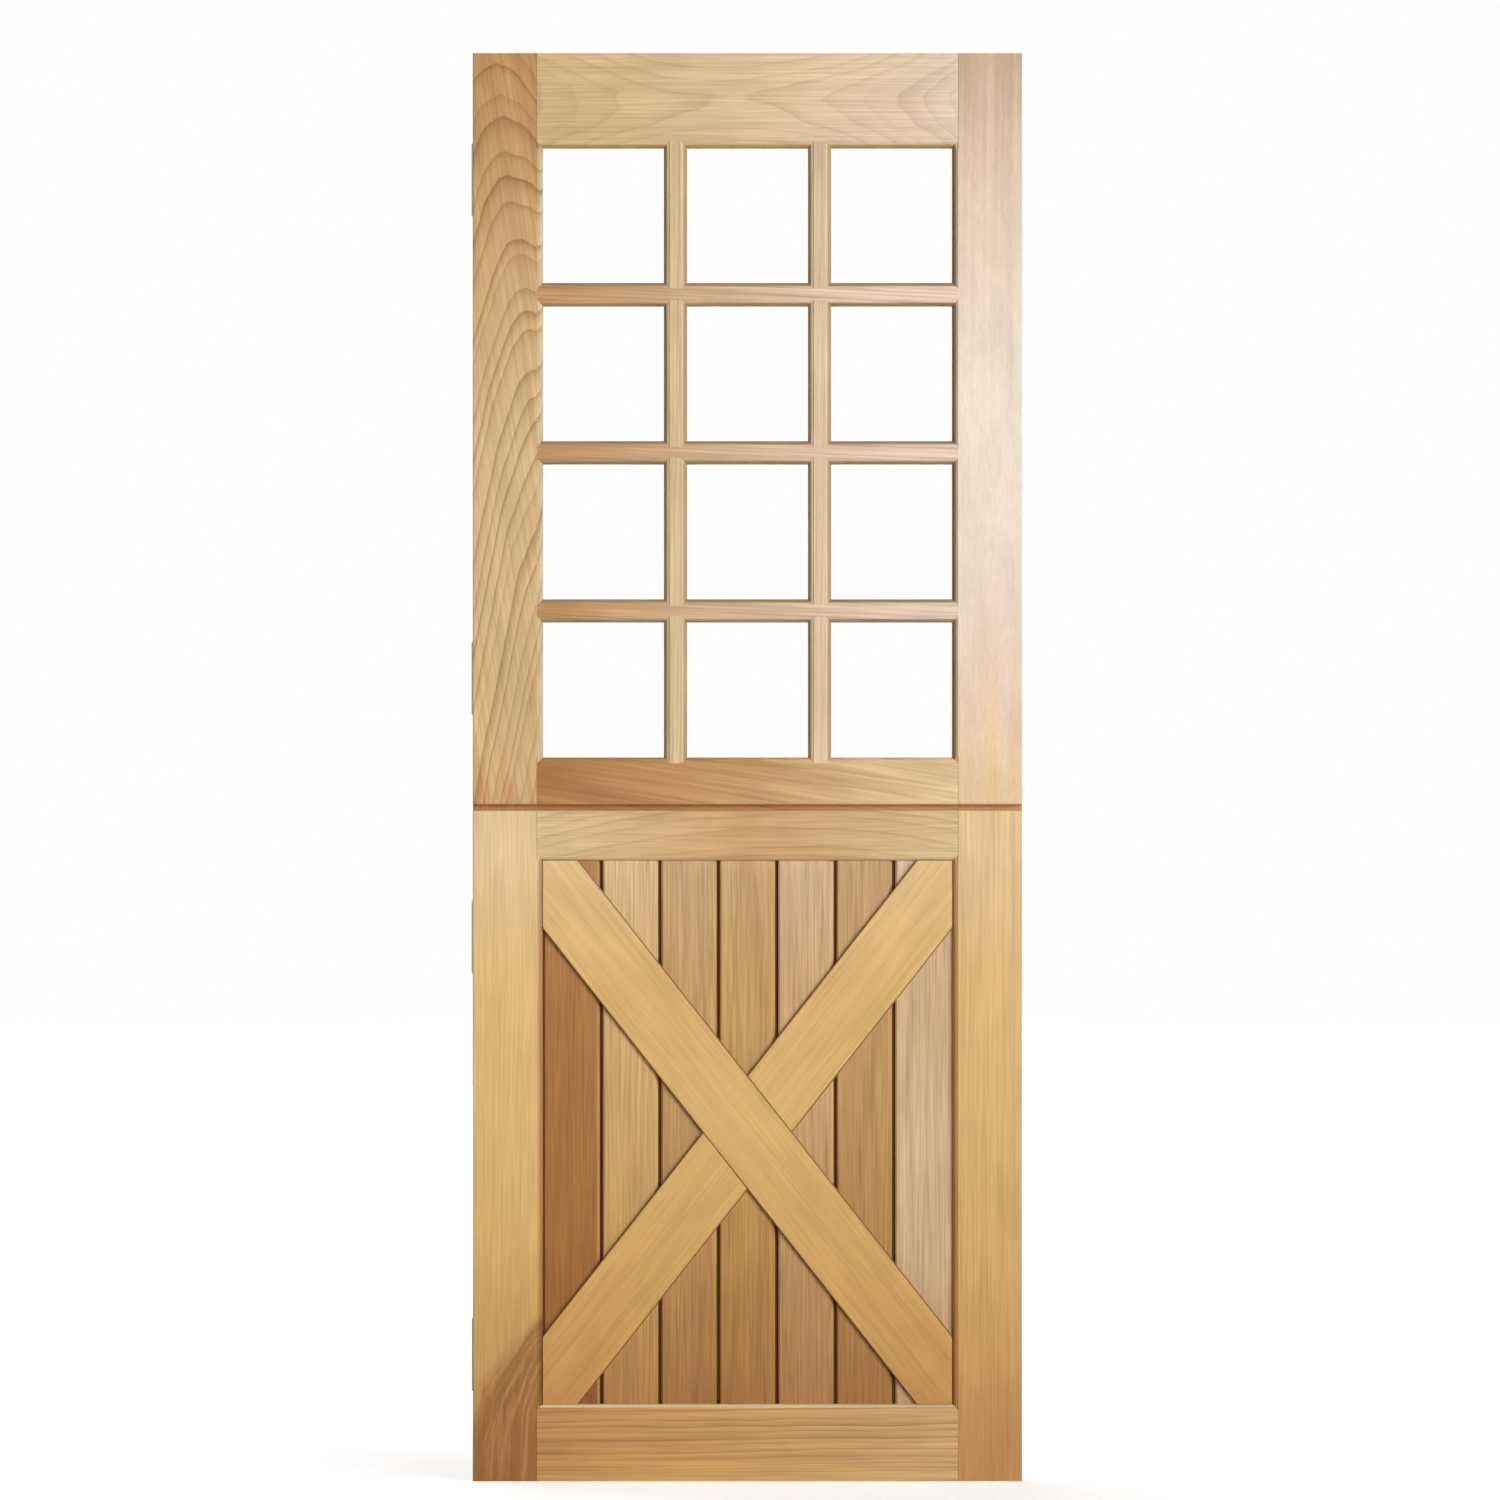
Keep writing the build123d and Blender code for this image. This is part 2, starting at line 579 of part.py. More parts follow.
def upper_leaf():
    """Glazed leaf: frame, bars, panes and beads."""
    uprights = ["upper_hinge_stile"]
    uprights += [f"upright_glazing_bar_{number + 1}" for number in range(PANE_COLUMNS - 1)]
    uprights += ["upper_lock_stile"]
    levels = ["top_rail"]
    levels += [f"level_glazing_bar_{number + 1}" for number in range(PANE_ROWS - 1)]
    levels += ["upper_meeting_rail"]
    top_rail_z = (GLAZING_SHOULDER_Z[1], DOOR_HEIGHT)
    meeting_rail_z = (UPPER_FOOT, GLAZING_SHOULDER_Z[0])
    leaf_z = (UPPER_FOOT, DOOR_HEIGHT)

    pieces = {
        "upper_hinge_stile": stile("left", leaf_z) + lip((LEFT, SHOULDER_X[0])),
        "upper_lock_stile": stile("right", leaf_z) + lip((SHOULDER_X[1], RIGHT)),
        "top_rail": rail(top_rail_z),
        "upper_meeting_rail": rail(meeting_rail_z) + lip(SHOULDER_X),
    }
    bar_numbers = range(PANE_ROWS - 1)
    halving_y = (GLASS_FRONT, BACK)
    for number in bar_numbers:
        body = block(SHOULDER_X, THROUGH, level_bar_z(number)) + level_stub(number, 0)
        for crossing in range(PANE_COLUMNS - 1):
            body -= block(upright_bar_x(crossing), halving_y, level_bar_z(number))
        pieces[levels[number + 1]] = body
    for number in range(PANE_COLUMNS - 1):
        body = block(upright_bar_x(number), THROUGH, GLAZING_SHOULDER_Z) + upright_stub(number, 0)
        for crossing in bar_numbers:
            body -= block(upright_bar_x(number), (FRONT, GLASS_FRONT), level_bar_z(crossing))
        pieces[uprights[number + 1]] = body

    for row in range(PANE_ROWS):
        strips = []
        for column in range(PANE_COLUMNS):
            opening = pane_opening(column, row)
            carriers = {
                "left": uprights[column],
                "right": uprights[column + 1],
                "top": levels[row],
                "bottom": levels[row + 1],
            }
            for side, carrier in carriers.items():
                pieces[carrier] += moulded_edge(opening, side, GLASS_DEPTH)
                strips.append(bead(opening, side))
            edge = MOULDING_WIDTH - GLASS_EDGE_CLEARANCE
            x, z = (grown(span, edge) for span in opening)
            pieces[f"glass_pane_{row + 1}_{column + 1}"] = block(x, (GLASS_FRONT, GLASS_BACK), z)
        pieces[f"glazing_beads_row_{row + 1}"] = Compound(strips)

    mortises = tenon(top_rail_z, JOINT_CLEARANCE) + tenon(meeting_rail_z, JOINT_CLEARANCE)
    for number in bar_numbers:
        mortises += level_stub(number, JOINT_CLEARANCE)
    for name in ("upper_hinge_stile", "upper_lock_stile"):
        pieces[name] -= mortises
    for number in range(PANE_COLUMNS - 1):
        for name in ("top_rail", "upper_meeting_rail"):
            pieces[name] -= upright_stub(number, JOINT_CLEARANCE)
    return pieces


def lower_leaf():
    """Boarded leaf: frame, boards and braces."""
    meeting_rail_z = (PANEL_SHOULDER_Z[1], LOWER_LEAF_HEIGHT)
    bottom_rail_z = (0, PANEL_SHOULDER_Z[0])
    leaf_z = (0, LOWER_LEAF_HEIGHT)
    opening = (SIGHT_X, PANEL_Z)
    frame = {
        "lower_hinge_stile": (stile("left", leaf_z), "left"),
        "lower_lock_stile": (stile("right", leaf_z), "right"),
        "lower_meeting_rail": (rail(meeting_rail_z), "top"),
        "bottom_rail": (rail(bottom_rail_z), "bottom"),
    }
    pieces = {}
    for name, (body, side) in frame.items():
        body += moulded_edge(opening, side, DOOR_THICKNESS)
        pieces[name] = body - panel_groove() - lip_rebate()
    for name in ("lower_hinge_stile", "lower_lock_stile"):
        pieces[name] -= tenon(meeting_rail_z, JOINT_CLEARANCE)
        pieces[name] -= tenon(bottom_rail_z, JOINT_CLEARANCE)
    for number in range(BOARD_COUNT):
        pieces[f"board_{number + 1}"] = board(number)
    pieces["long_brace"], pieces["upper_half_brace"], pieces["lower_half_brace"] = braces()
    return pieces


def hang(pieces, stile_name, leaf, heights):
    """Butt hinges on one stile, each with its two flaps and pin, and all their screws."""
    screws = []
    for place_name, height in zip(("top", "bottom"), heights):
        lift = Pos(0, 0, height)
        pieces[stile_name] -= lift * hinge_housing()
        hinge_name = f"{leaf}_leaf_{place_name}_hinge"
        pieces[f"{hinge_name}_door_flap"] = lift * door_flap()
        pieces[f"{hinge_name}_jamb_flap"] = lift * jamb_flap()
        pieces[f"{hinge_name}_pin"] = lift * hinge_pin()
        screws += [lift * place * hinge_screw() for place in door_hole_places()]
    pieces[f"{leaf}_leaf_hinge_screws"] = Compound(screws)


def leaf_bolt(pieces):
    """Bolt on the upper lock stile and its keeper on the lower one."""
    guide_middles = [foot + GUIDE_LENGTH / 2 for foot in (LOWER_GUIDE_FOOT, UPPER_GUIDE_FOOT)]
    bolt_places = bolt_screw_places(guide_middles)
    plate = back_plate((BOLT_FOOT, BOLT_FOOT + BOLT_PLATE_HEIGHT), bolt_places)
    for foot in (LOWER_GUIDE_FOOT, UPPER_GUIDE_FOOT):
        plate += strap(foot, GUIDE_CLEARANCE)
    keeper_places = bolt_screw_places([KEEPER_STRAP_FOOT + GUIDE_LENGTH / 2])
    keeper = back_plate((KEEPER_FOOT, KEEPER_FOOT + KEEPER_HEIGHT), keeper_places)
    keeper += strap(KEEPER_STRAP_FOOT, KEEPER_CLEARANCE)
    pieces["bolt_plate"] = plate
    pieces["bolt_bar"] = bolt_bar()
    pieces["bolt_keeper"] = keeper
    pieces["bolt_plate_screws"] = Compound([place * small_screw() for place in bolt_places])
    pieces["bolt_keeper_screws"] = Compound([place * small_screw() for place in keeper_places])
    hole = pilot(SMALL_SCREW_RADIUS, SMALL_SCREW_LENGTH)
    for place in bolt_places:
        pieces["upper_lock_stile"] -= place * hole
    for place in keeper_places:
        pieces["lower_lock_stile"] -= place * hole


def door():
    """Every piece of the door by name."""
    pieces = upper_leaf() | lower_leaf()
    hang(pieces, "upper_hinge_stile", "upper", UPPER_HINGES)
    hang(pieces, "lower_hinge_stile", "lower", LOWER_HINGES)
    leaf_bolt(pieces)
    return pieces


os.makedirs("parts", exist_ok=True)
for name, piece in door().items():
    export_step(piece, f"parts/{name}.step")
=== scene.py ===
# %% [markdown]
# # A stable door in honey-coloured timber
# The door hangs in two leaves: a glazed one above and a boarded, cross-braced one below. Every
# piece of it was cut from a different board, so no two of them have quite the same tone. The solid
# pieces arrive as a fixed frame, already at their place and size. This lesson dresses them: it
# works out one way to draw sawn timber, cuts each piece from its own log, and then adds the glass,
# the steel and the small fixings.

# %% Load the door
import math

import bpy
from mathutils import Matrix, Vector


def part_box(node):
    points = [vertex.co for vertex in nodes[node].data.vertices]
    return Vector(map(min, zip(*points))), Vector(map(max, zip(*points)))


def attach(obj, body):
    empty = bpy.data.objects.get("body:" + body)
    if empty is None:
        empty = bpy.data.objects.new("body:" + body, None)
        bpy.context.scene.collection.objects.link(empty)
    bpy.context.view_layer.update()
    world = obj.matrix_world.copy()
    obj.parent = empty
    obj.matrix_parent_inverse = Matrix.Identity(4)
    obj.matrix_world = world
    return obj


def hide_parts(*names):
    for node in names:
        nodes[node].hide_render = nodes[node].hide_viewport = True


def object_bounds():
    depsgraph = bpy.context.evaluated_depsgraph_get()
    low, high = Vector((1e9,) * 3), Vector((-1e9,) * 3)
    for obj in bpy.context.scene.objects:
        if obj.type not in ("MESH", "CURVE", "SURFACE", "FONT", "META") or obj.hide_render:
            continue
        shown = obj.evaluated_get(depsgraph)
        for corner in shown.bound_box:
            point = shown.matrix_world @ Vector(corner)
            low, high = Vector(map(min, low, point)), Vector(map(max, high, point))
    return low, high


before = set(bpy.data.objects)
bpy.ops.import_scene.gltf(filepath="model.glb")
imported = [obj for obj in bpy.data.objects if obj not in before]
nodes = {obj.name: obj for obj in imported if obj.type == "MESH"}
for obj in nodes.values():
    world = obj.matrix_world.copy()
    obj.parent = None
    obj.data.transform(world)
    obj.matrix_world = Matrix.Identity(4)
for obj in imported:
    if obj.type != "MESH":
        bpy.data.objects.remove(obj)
cad_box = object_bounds()

# %% [markdown]
# ## Helpers
# Colours are written the way a paint card gives them, as sRGB hex values, and Blender shades in
# linear light, so one function turns the first into the second. A material is a small graph of
# nodes, and one function adds a node, sets what it is told and links the rest. Lengths are
# thought of in millimetres and used in metres.

# %% Colours and nodes
MM = 0.001


def linear(hex_colour):
    """Linear RGBA of an sRGB hex value."""
    parts = [int(hex_colour[i:i + 2], 16) / 255 for i in (1, 3, 5)]
    return [c / 12.92 if c <= 0.04045 else ((c + 0.055) / 1.055) ** 2.4 for c in parts] + [1.0]


def add(tree, kind, inputs=(), out=0, stops=(), **settings):
    """Adds a node with its settings, ramp stops and inputs, and returns one of its outputs."""
    made = tree.nodes.new("ShaderNode" + kind)
    for name, value in settings.items():
        setattr(made, name, value)
    if stops:
        marks = made.color_ramp.elements
        marks.remove(marks[1])
        marks[0].position = stops[0][0]
        for position, _ in stops[1:]:
            marks.new(position)
        for mark, (_, hex_colour) in zip(marks, stops):
            mark.color = linear(hex_colour)
    for socket, value in inputs.items() if isinstance(inputs, dict) else enumerate(inputs):
        if isinstance(value, bpy.types.NodeSocket):
            tree.links.new(value, made.inputs[socket])
        else:
            made.inputs[socket].default_value = value
    return made.outputs[out] if made.outputs else None


def new_material(name):
    """An empty material and its node tree."""
    material = bpy.data.materials.new(name)
    material.use_nodes = True
    material.node_tree.nodes.clear()
    return material, material.node_tree


print("white in linear light:", linear("#FFFFFF"))

# %% [markdown]
# ## Sawn timber
# A board is a flat slice through a tree. The tree's yearly rings are long nested cones round the
# pith, and where the saw cuts them they show as lines: straight ones when the pith lies far to one
# side, arches when it lies just behind the face. A picture of wood could be drawn on each face,
# but then edges, mouldings and end grain would not agree. So the rings are worked out in space:
# each piece gets a log, the log gets a pith axis, and every point takes its tone from how far it
# lies from that axis. Mouldings then cut through the figure just as a cutter does.

# %% Yearly rings
# Sizes of a pattern across and along the grain
WAVE = (42 * MM, 240 * MM)
# Good and lean years come in spells, and a lean one draws a fainter line
SPELL_RATE = 0.6
SPELL_SHIFT = 1.6
FAINTEST_LINE = 0.4
# Late wood darkens slowly through the year and ends at once
LATE_RISE = 2.8
YEAR_END = 0.93


def per_step(size):
    """Scale that counts a log's coordinates in steps of a pattern."""
    across, along = size
    return (1 / across, 1 / across, 1 / along)


def yearly_rings(tree, log, cut):
    """Late wood at each point: 0 in spring wood, rising to 1 where the year ends, then nothing."""
    across = add(tree, "VectorMath", [log, (1, 1, 0)], operation="MULTIPLY")
    radius = add(tree, "VectorMath", [across], out="Value", operation="LENGTH")
    along = add(tree, "SeparateXYZ", [log], out="Z")
    slope = add(tree, "Math", [along, cut["bow"], cut["taper"]], operation="MULTIPLY_ADD")
    cone = add(tree, "Math", [along, slope, radius], operation="MULTIPLY_ADD")
    place = add(tree, "Mapping", {"Vector": log, "Scale": per_step(WAVE)})
    wave = add(tree, "TexNoise", {"Vector": place, "Scale": 1, "Detail": 2})
    waved = add(tree, "Math", [wave, cut["wave"] * MM, cone], operation="MULTIPLY_ADD")
    years = add(tree, "Math", [waved, cut["rings"] * MM], operation="DIVIDE")
    spells = {"W": years, "Scale": SPELL_RATE, "Detail": 1}
    uneven = add(tree, "TexNoise", spells, noise_dimensions="1D")
    years = add(tree, "Math", [uneven, SPELL_SHIFT, years], operation="MULTIPLY_ADD")
    season = add(tree, "Math", [years], operation="FRACT")
    rise = add(tree, "Math", [season, LATE_RISE], operation="POWER")
    fall = add(tree, "MapRange", [season, YEAR_END, 1, 1, 0], interpolation_type="SMOOTHSTEP")
    year = add(tree, "Math", [years], operation="FLOOR")
    vigour = add(tree, "TexWhiteNoise", {"W": year}, noise_dimensions="1D")
    strength = add(tree, "MapRange", [vigour, 0, 1, FAINTEST_LINE, 1])
    late = add(tree, "Math", [rise, fall], operation="MULTIPLY")
    return add(tree, "Math", [late, strength], operation="MULTIPLY")


print("waves of the rings in mm:", [size / MM for size in WAVE])

# %% [markdown]
# ## The finish on the timber
# The door is planed, sanded and given a thin clear lacquer. Planed wood has three things to see
# besides its rings: broad streaks where the tone drifts and blushes, fine fibres, and soft clouds
# where the grain dips. There is also a slow change from one end of the board to the other. The
# lacquer leaves a soft shine that is a little duller on the open fibres. All of it hangs on the
# same log, so it follows the grain round every edge.

# %% Grain and tone of a board
STREAK = (11 * MM, 520 * MM)
DRIFT = 0.3


def grain(tree, log, size):
    """Noise drawn out along the grain of a log."""
    place = add(tree, "Mapping", {"Vector": log, "Scale": per_step(size)})
    return add(tree, "TexNoise", {"Vector": place, "Scale": 1, "Detail": 2})


def board_tone(tree, place, streak, cut):
    """The board's own tone, which drifts from its top or hinge-side end to the other."""
    position = add(tree, "SeparateXYZ", [place], out=cut["axis"])
    share = add(tree, "MapRange", [position, cut["start"], cut["end"], 0, 1])
    leaning = add(tree, "Math", [streak, DRIFT, -DRIFT / 2], operation="MULTIPLY_ADD")
    drift = add(tree, "Math", [share, leaning], operation="ADD")
    return add(tree, "ValToRGB", [drift], stops=cut["tones"])


print("streaks in mm:", [size / MM for size in STREAK])

# %% Lacquered timber
BLUSH = (24 * MM, 420 * MM)
CLOUD = (38 * MM, 95 * MM)
# Real fibres are about 0.1 mm thick: they are drawn coarser, so that they show at arm's length
FIBRE = (2.7 * MM, 110 * MM)
FLECK = (2.7 * MM, 16 * MM)
# Values that noise mostly keeps between, and those between which a blush sets in
NOISE_RANGE = (0.3, 0.7)
BLUSH_RANGE = (0.4, 0.65)
# Share of red, green and blue that a blushing streak keeps
ROSY = (1.02, 0.95, 1.04)
LATE_WOOD = "#84542A"
# Roughness where the fibres are closed, and where they are open
SHEEN = (0.5, 0.62)
RELIEF = 0.3 * MM
RELIEF_STRENGTH = 0.12
LACQUER = {"IOR": 1.5, "Specular IOR Level": 0.15}


def lacquered_timber(name, cut):
    """Planed softwood under thin clear lacquer: warm, streaked, with a soft even sheen."""
    material, tree = new_material(name)
    place = add(tree, "TexCoord", out="Object")
    laid = cut["lay"](tree, place) if cut["lay"] else place
    turn = {"Vector": laid, "Location": cut["pith"], "Rotation": (0, cut["lean"], 0)}
    log = add(tree, "Mapping", turn, vector_type="TEXTURE")
    sizes = (STREAK, BLUSH, cut["fibres"], CLOUD)
    streak, blush, fibre, cloud = (grain(tree, log, size) for size in sizes)
    lines = yearly_rings(tree, log, cut)
    colour = board_tone(tree, place, streak, cut)
    flush = [blush, *BLUSH_RANGE, 0, cut["blush"]]
    share = add(tree, "MapRange", flush, interpolation_type="SMOOTHSTEP")
    rosy = add(tree, "VectorMath", [colour, ROSY], operation="MULTIPLY")
    colour = add(tree, "Mix", {0: share, 6: colour, 7: rosy}, out=2, data_type="RGBA")
    # Stains, and painted light and shade, in the order they are listed
    for stain in cut["stains"]:
        colour = stain(tree, place, log, colour)
    drawn = add(tree, "Math", [lines, cut["lines"]], operation="MULTIPLY")
    rings = {0: drawn, 6: colour, 7: linear(LATE_WOOD)}
    colour = add(tree, "Mix", rings, out=2, data_type="RGBA")
    for noise, swing in ((streak, cut["streak"]), (fibre, cut["fibre"]), (cloud, cut["cloud"])):
        shade = add(tree, "MapRange", [noise, *NOISE_RANGE, 1 - swing, 1 + swing])
        colour = add(tree, "VectorMath", {0: colour, "Scale": shade}, operation="SCALE")
    rough = add(tree, "MapRange", [fibre, *NOISE_RANGE, *SHEEN])
    height = add(tree, "Math", [fibre, lines], operation="ADD")
    relief = {"Height": height, "Strength": RELIEF_STRENGTH, "Distance": RELIEF}
    normal = add(tree, "Bump", relief)
    surface = {"Base Color": colour, "Roughness": rough, "Normal": normal}
    skin = add(tree, "BsdfPrincipled", surface | LACQUER)
    add(tree, "OutputMaterial", [skin])
    return material


print("fibres in mm:", [size / MM for size in FIBRE])

# %% [markdown]
# ## Cutting a piece from its log
# The pith of each log is placed from the middle of the piece: so far to the side, so far behind
# the face and so far along. The log may lean a little, and it tapers. A piece that stands upright
# has its grain along Z and a level one along X, so one function can cut them all.

# %% Cut and dress
# A plain cut: tilt in degrees, wave in millimetres, and strengths as shares of the tone
PLAIN_CUT = {
    "tilt": 0, "taper": 0.01, "bow": 0, "wave": 6, "centre": None, "lay": None,
    "lines": 0.3, "streak": 0.05, "fibre": 0.11, "blush": 0.35, "cloud": 0.06,
    "fibres": FIBRE, "stains": [],
}


def dress(node, run, tones, rings, pith, **details):
    """Cuts one piece of the frame from its own log, with rings and pith in mm, and finishes it."""
    low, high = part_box(node)
    side, behind, along = (distance * MM for distance in pith)
    cut = PLAIN_CUT | {"tones": tones, "rings": rings} | details
    if run == "level":
        cut |= {"axis": "X", "start": low.x, "end": high.x, "lean": math.radians(90 + cut["tilt"])}
        offset = Vector((along, behind, side))
    else:
        cut |= {"axis": "Z", "start": high.z, "end": low.z, "lean": math.radians(cut["tilt"])}
        offset = Vector((side, behind, along))
    cut["pith"] = (cut["centre"] or (low + high) / 2) + offset
    nodes[node].material_slots[0].material = lacquered_timber(f"lacquered_timber_{node}", cut)


print("a plain cut:", PLAIN_CUT)

# %% [markdown]
# ## Painted light on mouldings, and joints
# Each moulding gets a tone of its own, and that tone is mostly painted light: paler where a moulding
# faces the light, darker where it turns away from it. A rail's shoulder leaves a fine dark line on
# the stile that it meets. A moulding could have a material of its own, but it is one solid with the
# flat, and its grain has to run on. So it is found by the way its surface turns from the front, well
# inside the edges of the two leaves, and on a stile by its place between two rails as well. The line
# lies beside the rails. The glazed leaf closes on the boarded one with a lip that is set back from
# its face. The gap in front of the lip lies in shade, and that shade is painted on the lip in brown.

# %% Mouldings
DOOR_MIDDLE = (cad_box[0] + cad_box[1]) / 2
DOOR_HALF = (cad_box[1] - cad_box[0]) / 2
LEAF_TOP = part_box("lower_meeting_rail")[1].z
LEAF_MARGIN = 20 * MM
# How squarely a surface faces the front where a moulding starts, and where it is in full tone
MOULDING_TURN = (0.998, 0.85)


def inside_leaf(tree, place):
    """1 inside a leaf, 0 near its outer edges and where the two leaves meet."""
    offset = add(tree, "VectorMath", [place, DOOR_MIDDLE], operation="SUBTRACT")
    apart = add(tree, "VectorMath", [offset], operation="ABSOLUTE")
    inwards = add(tree, "VectorMath", [DOOR_HALF, apart], operation="SUBTRACT")
    from_side = add(tree, "SeparateXYZ", [inwards], out="X")
    from_end = add(tree, "SeparateXYZ", [inwards], out="Z")
    height = add(tree, "SeparateXYZ", [place], out="Z")
    above = add(tree, "Math", [height, LEAF_TOP], operation="SUBTRACT")
    from_meeting = add(tree, "Math", [above], operation="ABSOLUTE")
    nearest = add(tree, "Math", [from_side, from_end], operation="MINIMUM")
    nearest = add(tree, "Math", [nearest, from_meeting], operation="MINIMUM")
    return add(tree, "Math", [nearest, LEAF_MARGIN], operation="GREATER_THAN")


def moulding_light_and_shade(tone):
    """Painted highlight and shade: a tone of its own wherever the surface turns away from the front
    and the back.
    """

    def recoloured(tree, place, log, colour):
        facing = add(tree, "TexCoord", out="Normal")
        depth = add(tree, "SeparateXYZ", [facing], out="Y")
        flat = add(tree, "Math", [depth], operation="ABSOLUTE")
        turned = add(tree, "MapRange", [flat, *MOULDING_TURN, 0, 1], interpolation_type="SMOOTHSTEP")
        share = add(tree, "Math", [turned, inside_leaf(tree, place)], operation="MULTIPLY")
        both = {0: share, 6: colour, 7: linear(tone)}
        return add(tree, "Mix", both, out=2, data_type="RGBA")

    return recoloured


print("the leaves meet at", round(LEAF_TOP, 3), "m")

# %% Edges of the stiles
MOULDING_WIDTH = 8.2 * MM
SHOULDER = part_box("long_brace")[1].x + MOULDING_WIDTH
BAND_FADE = 1 * MM
BAND_SHARE = 0.9
JOINT_LINE = 1.6 * MM
LINE_SHARE = 0.45
# Dark brown for the joint lines beside the rails, and for the painted shade in slots and along braces
DARK_JOINT_AND_SHADE = "#5A2B00"


def joint_lines_and_moulding_light(tone, lower_rail, upper_rail):
    """The inner edge of a stile: dark joint lines beside its rails, and between them its moulding's
    painted light in a tone of its own.
    """
    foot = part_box(lower_rail)[1].z
    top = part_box(upper_rail)[0].z

    def recoloured(tree, place, log, colour):
        side = add(tree, "SeparateXYZ", [place], out="X")
        across = add(tree, "Math", [side], operation="ABSOLUTE")
        ends = [across, SHOULDER + BAND_FADE, SHOULDER - MOULDING_WIDTH / 2, 0, BAND_SHARE]
        band = add(tree, "MapRange", ends, interpolation_type="SMOOTHSTEP")
        depth = add(tree, "SeparateXYZ", [place], out="Y")
        front = add(tree, "Math", [depth, DOOR_MIDDLE.y], operation="LESS_THAN")
        band = add(tree, "Math", [band, front], operation="MULTIPLY")
        offset = add(tree, "Math", [across, SHOULDER], operation="SUBTRACT")
        apart = add(tree, "Math", [offset], operation="ABSOLUTE")
        ends = [apart, 0, JOINT_LINE, LINE_SHARE, 0]
        line = add(tree, "MapRange", ends, interpolation_type="SMOOTHSTEP")
        height = add(tree, "SeparateXYZ", [place], out="Z")
        rise = add(tree, "Math", [height, (foot + top) / 2], operation="SUBTRACT")
        away = add(tree, "Math", [rise], operation="ABSOLUTE")
        beside_rail = add(tree, "Math", [away, (top - foot) / 2], operation="GREATER_THAN")
        line = add(tree, "Math", [line, beside_rail], operation="MULTIPLY")
        between = add(tree, "Math", [1, beside_rail], operation="SUBTRACT")
        band = add(tree, "Math", [band, between], operation="MULTIPLY")
        both = {0: line, 6: colour, 7: linear(DARK_JOINT_AND_SHADE)}
        lined = add(tree, "Mix", both, out=2, data_type="RGBA")
        # The band between the rails is the moulding's painted highlight and shade
        both = {0: band, 6: lined, 7: linear(tone)}
        return add(tree, "Mix", both, out=2, data_type="RGBA")

    return recoloured


print("shoulders of the rails at", round(SHOULDER, 4), "m to each side")

# %% The lip
LIP_TOP = LEAF_TOP + 9 * MM
LIP_FADE = 3 * MM
# The lip lies in the shade of the gap in front of it, and this brown is that shade, painted
LIP_SHADE_TONE = "#B38045"
LIP_SHARE = 0.8


def lip_painted_shade(tree, place, log, colour):
    """Painted shade on the lip, in brown, below the foot of the glazed leaf's face."""
    height = add(tree, "SeparateXYZ", [place], out="Z")
    fade = [height, LIP_TOP + LIP_FADE, LIP_TOP - LIP_FADE / 2, 0, LIP_SHARE]
    share = add(tree, "MapRange", fade, interpolation_type="SMOOTHSTEP")
    depth = add(tree, "SeparateXYZ", [place], out="Y")
    front = add(tree, "Math", [depth, DOOR_MIDDLE.y], operation="LESS_THAN")
    share = add(tree, "Math", [share, front], operation="MULTIPLY")
    both = {0: share, 6: colour, 7: linear(LIP_SHADE_TONE)}
    return add(tree, "Mix", both, out=2, data_type="RGBA")


print("the lip is brown up to", round(LIP_TOP, 3), "m")

# %% [markdown]
# ## The frame of the glazed leaf
# The stile on the hinge side was sawn close to the pith, so its upper half carries nested arches,
# and because the log leaned a little the arches run out of the edge lower down and leave slanting
# lines. The stile on the lock side is almost plain, and its pale pinkish tone is partly a painted
# highlight. The lower rail is an orange board that pales towards the lock. Drawing each figure by
# hand would take a picture for every piece. Here a figure is only a choice of log: how wide its
# rings are, where its pith lies and how it leans.

# %% Upper stiles and rails
dress(
    "upper_hinge_stile", "up",
    [(0, "#B98E59"), (0.2, "#C69E6A"), (0.5, "#D9BA89"), (0.92, "#D8B682"), (1, "#CB9E6A")],
    rings=12.0, pith=(54, 42, 0), tilt=-8.3, taper=0.31, wave=9, lines=0.8,
    stains=[
        # The hinge stile's moulding faces the light, and its pale tone is a painted highlight
        moulding_light_and_shade("#CCB592"), joint_lines_and_moulding_light("#CCB592", "upper_meeting_rail", "top_rail"), lip_painted_shade,
    ],
)
# Its pale pinkish tones are partly a painted highlight, where the light falls on this stile
dress(
    "upper_lock_stile", "up",
    [(0, "#C8AD8E"), (0.2, "#E2CBB4"), (0.45, "#F0DFCD"), (0.75, "#ECD8C4"), (1, "#E6C294")],
    rings=5.0, pith=(160, 30, 0), lines=0.05, streak=0.02, fibre=0.05, fibres=FLECK, blush=0.2,
    stains=[
        # The lock stile's moulding turns from the light, and its dark tone is painted shade
        moulding_light_and_shade("#886B48"), joint_lines_and_moulding_light("#957955", "upper_meeting_rail", "top_rail"), lip_painted_shade,
    ],
)
dress(
    "top_rail", "level",
    [(0, "#CFAE78"), (0.5, "#DAC198"), (1, "#E2CEB4")],
    rings=11.0, pith=(-4, 40, -35), bow=-0.6, taper=0.0, lines=0.26, streak=0.04, wave=16,
    # The rail's moulding faces down, and its darker tone is painted shade
    stains=[moulding_light_and_shade("#BC9A5E")],
)
dress(
    "upper_meeting_rail", "level",
    [(0, "#A7703B"), (0.5, "#C79B68"), (1, "#F3D8A8")],
    rings=9.0, pith=(60, 60, 0), tilt=9, wave=10, lines=0.3, stains=[lip_painted_shade],
)
print("upper leaf framed")

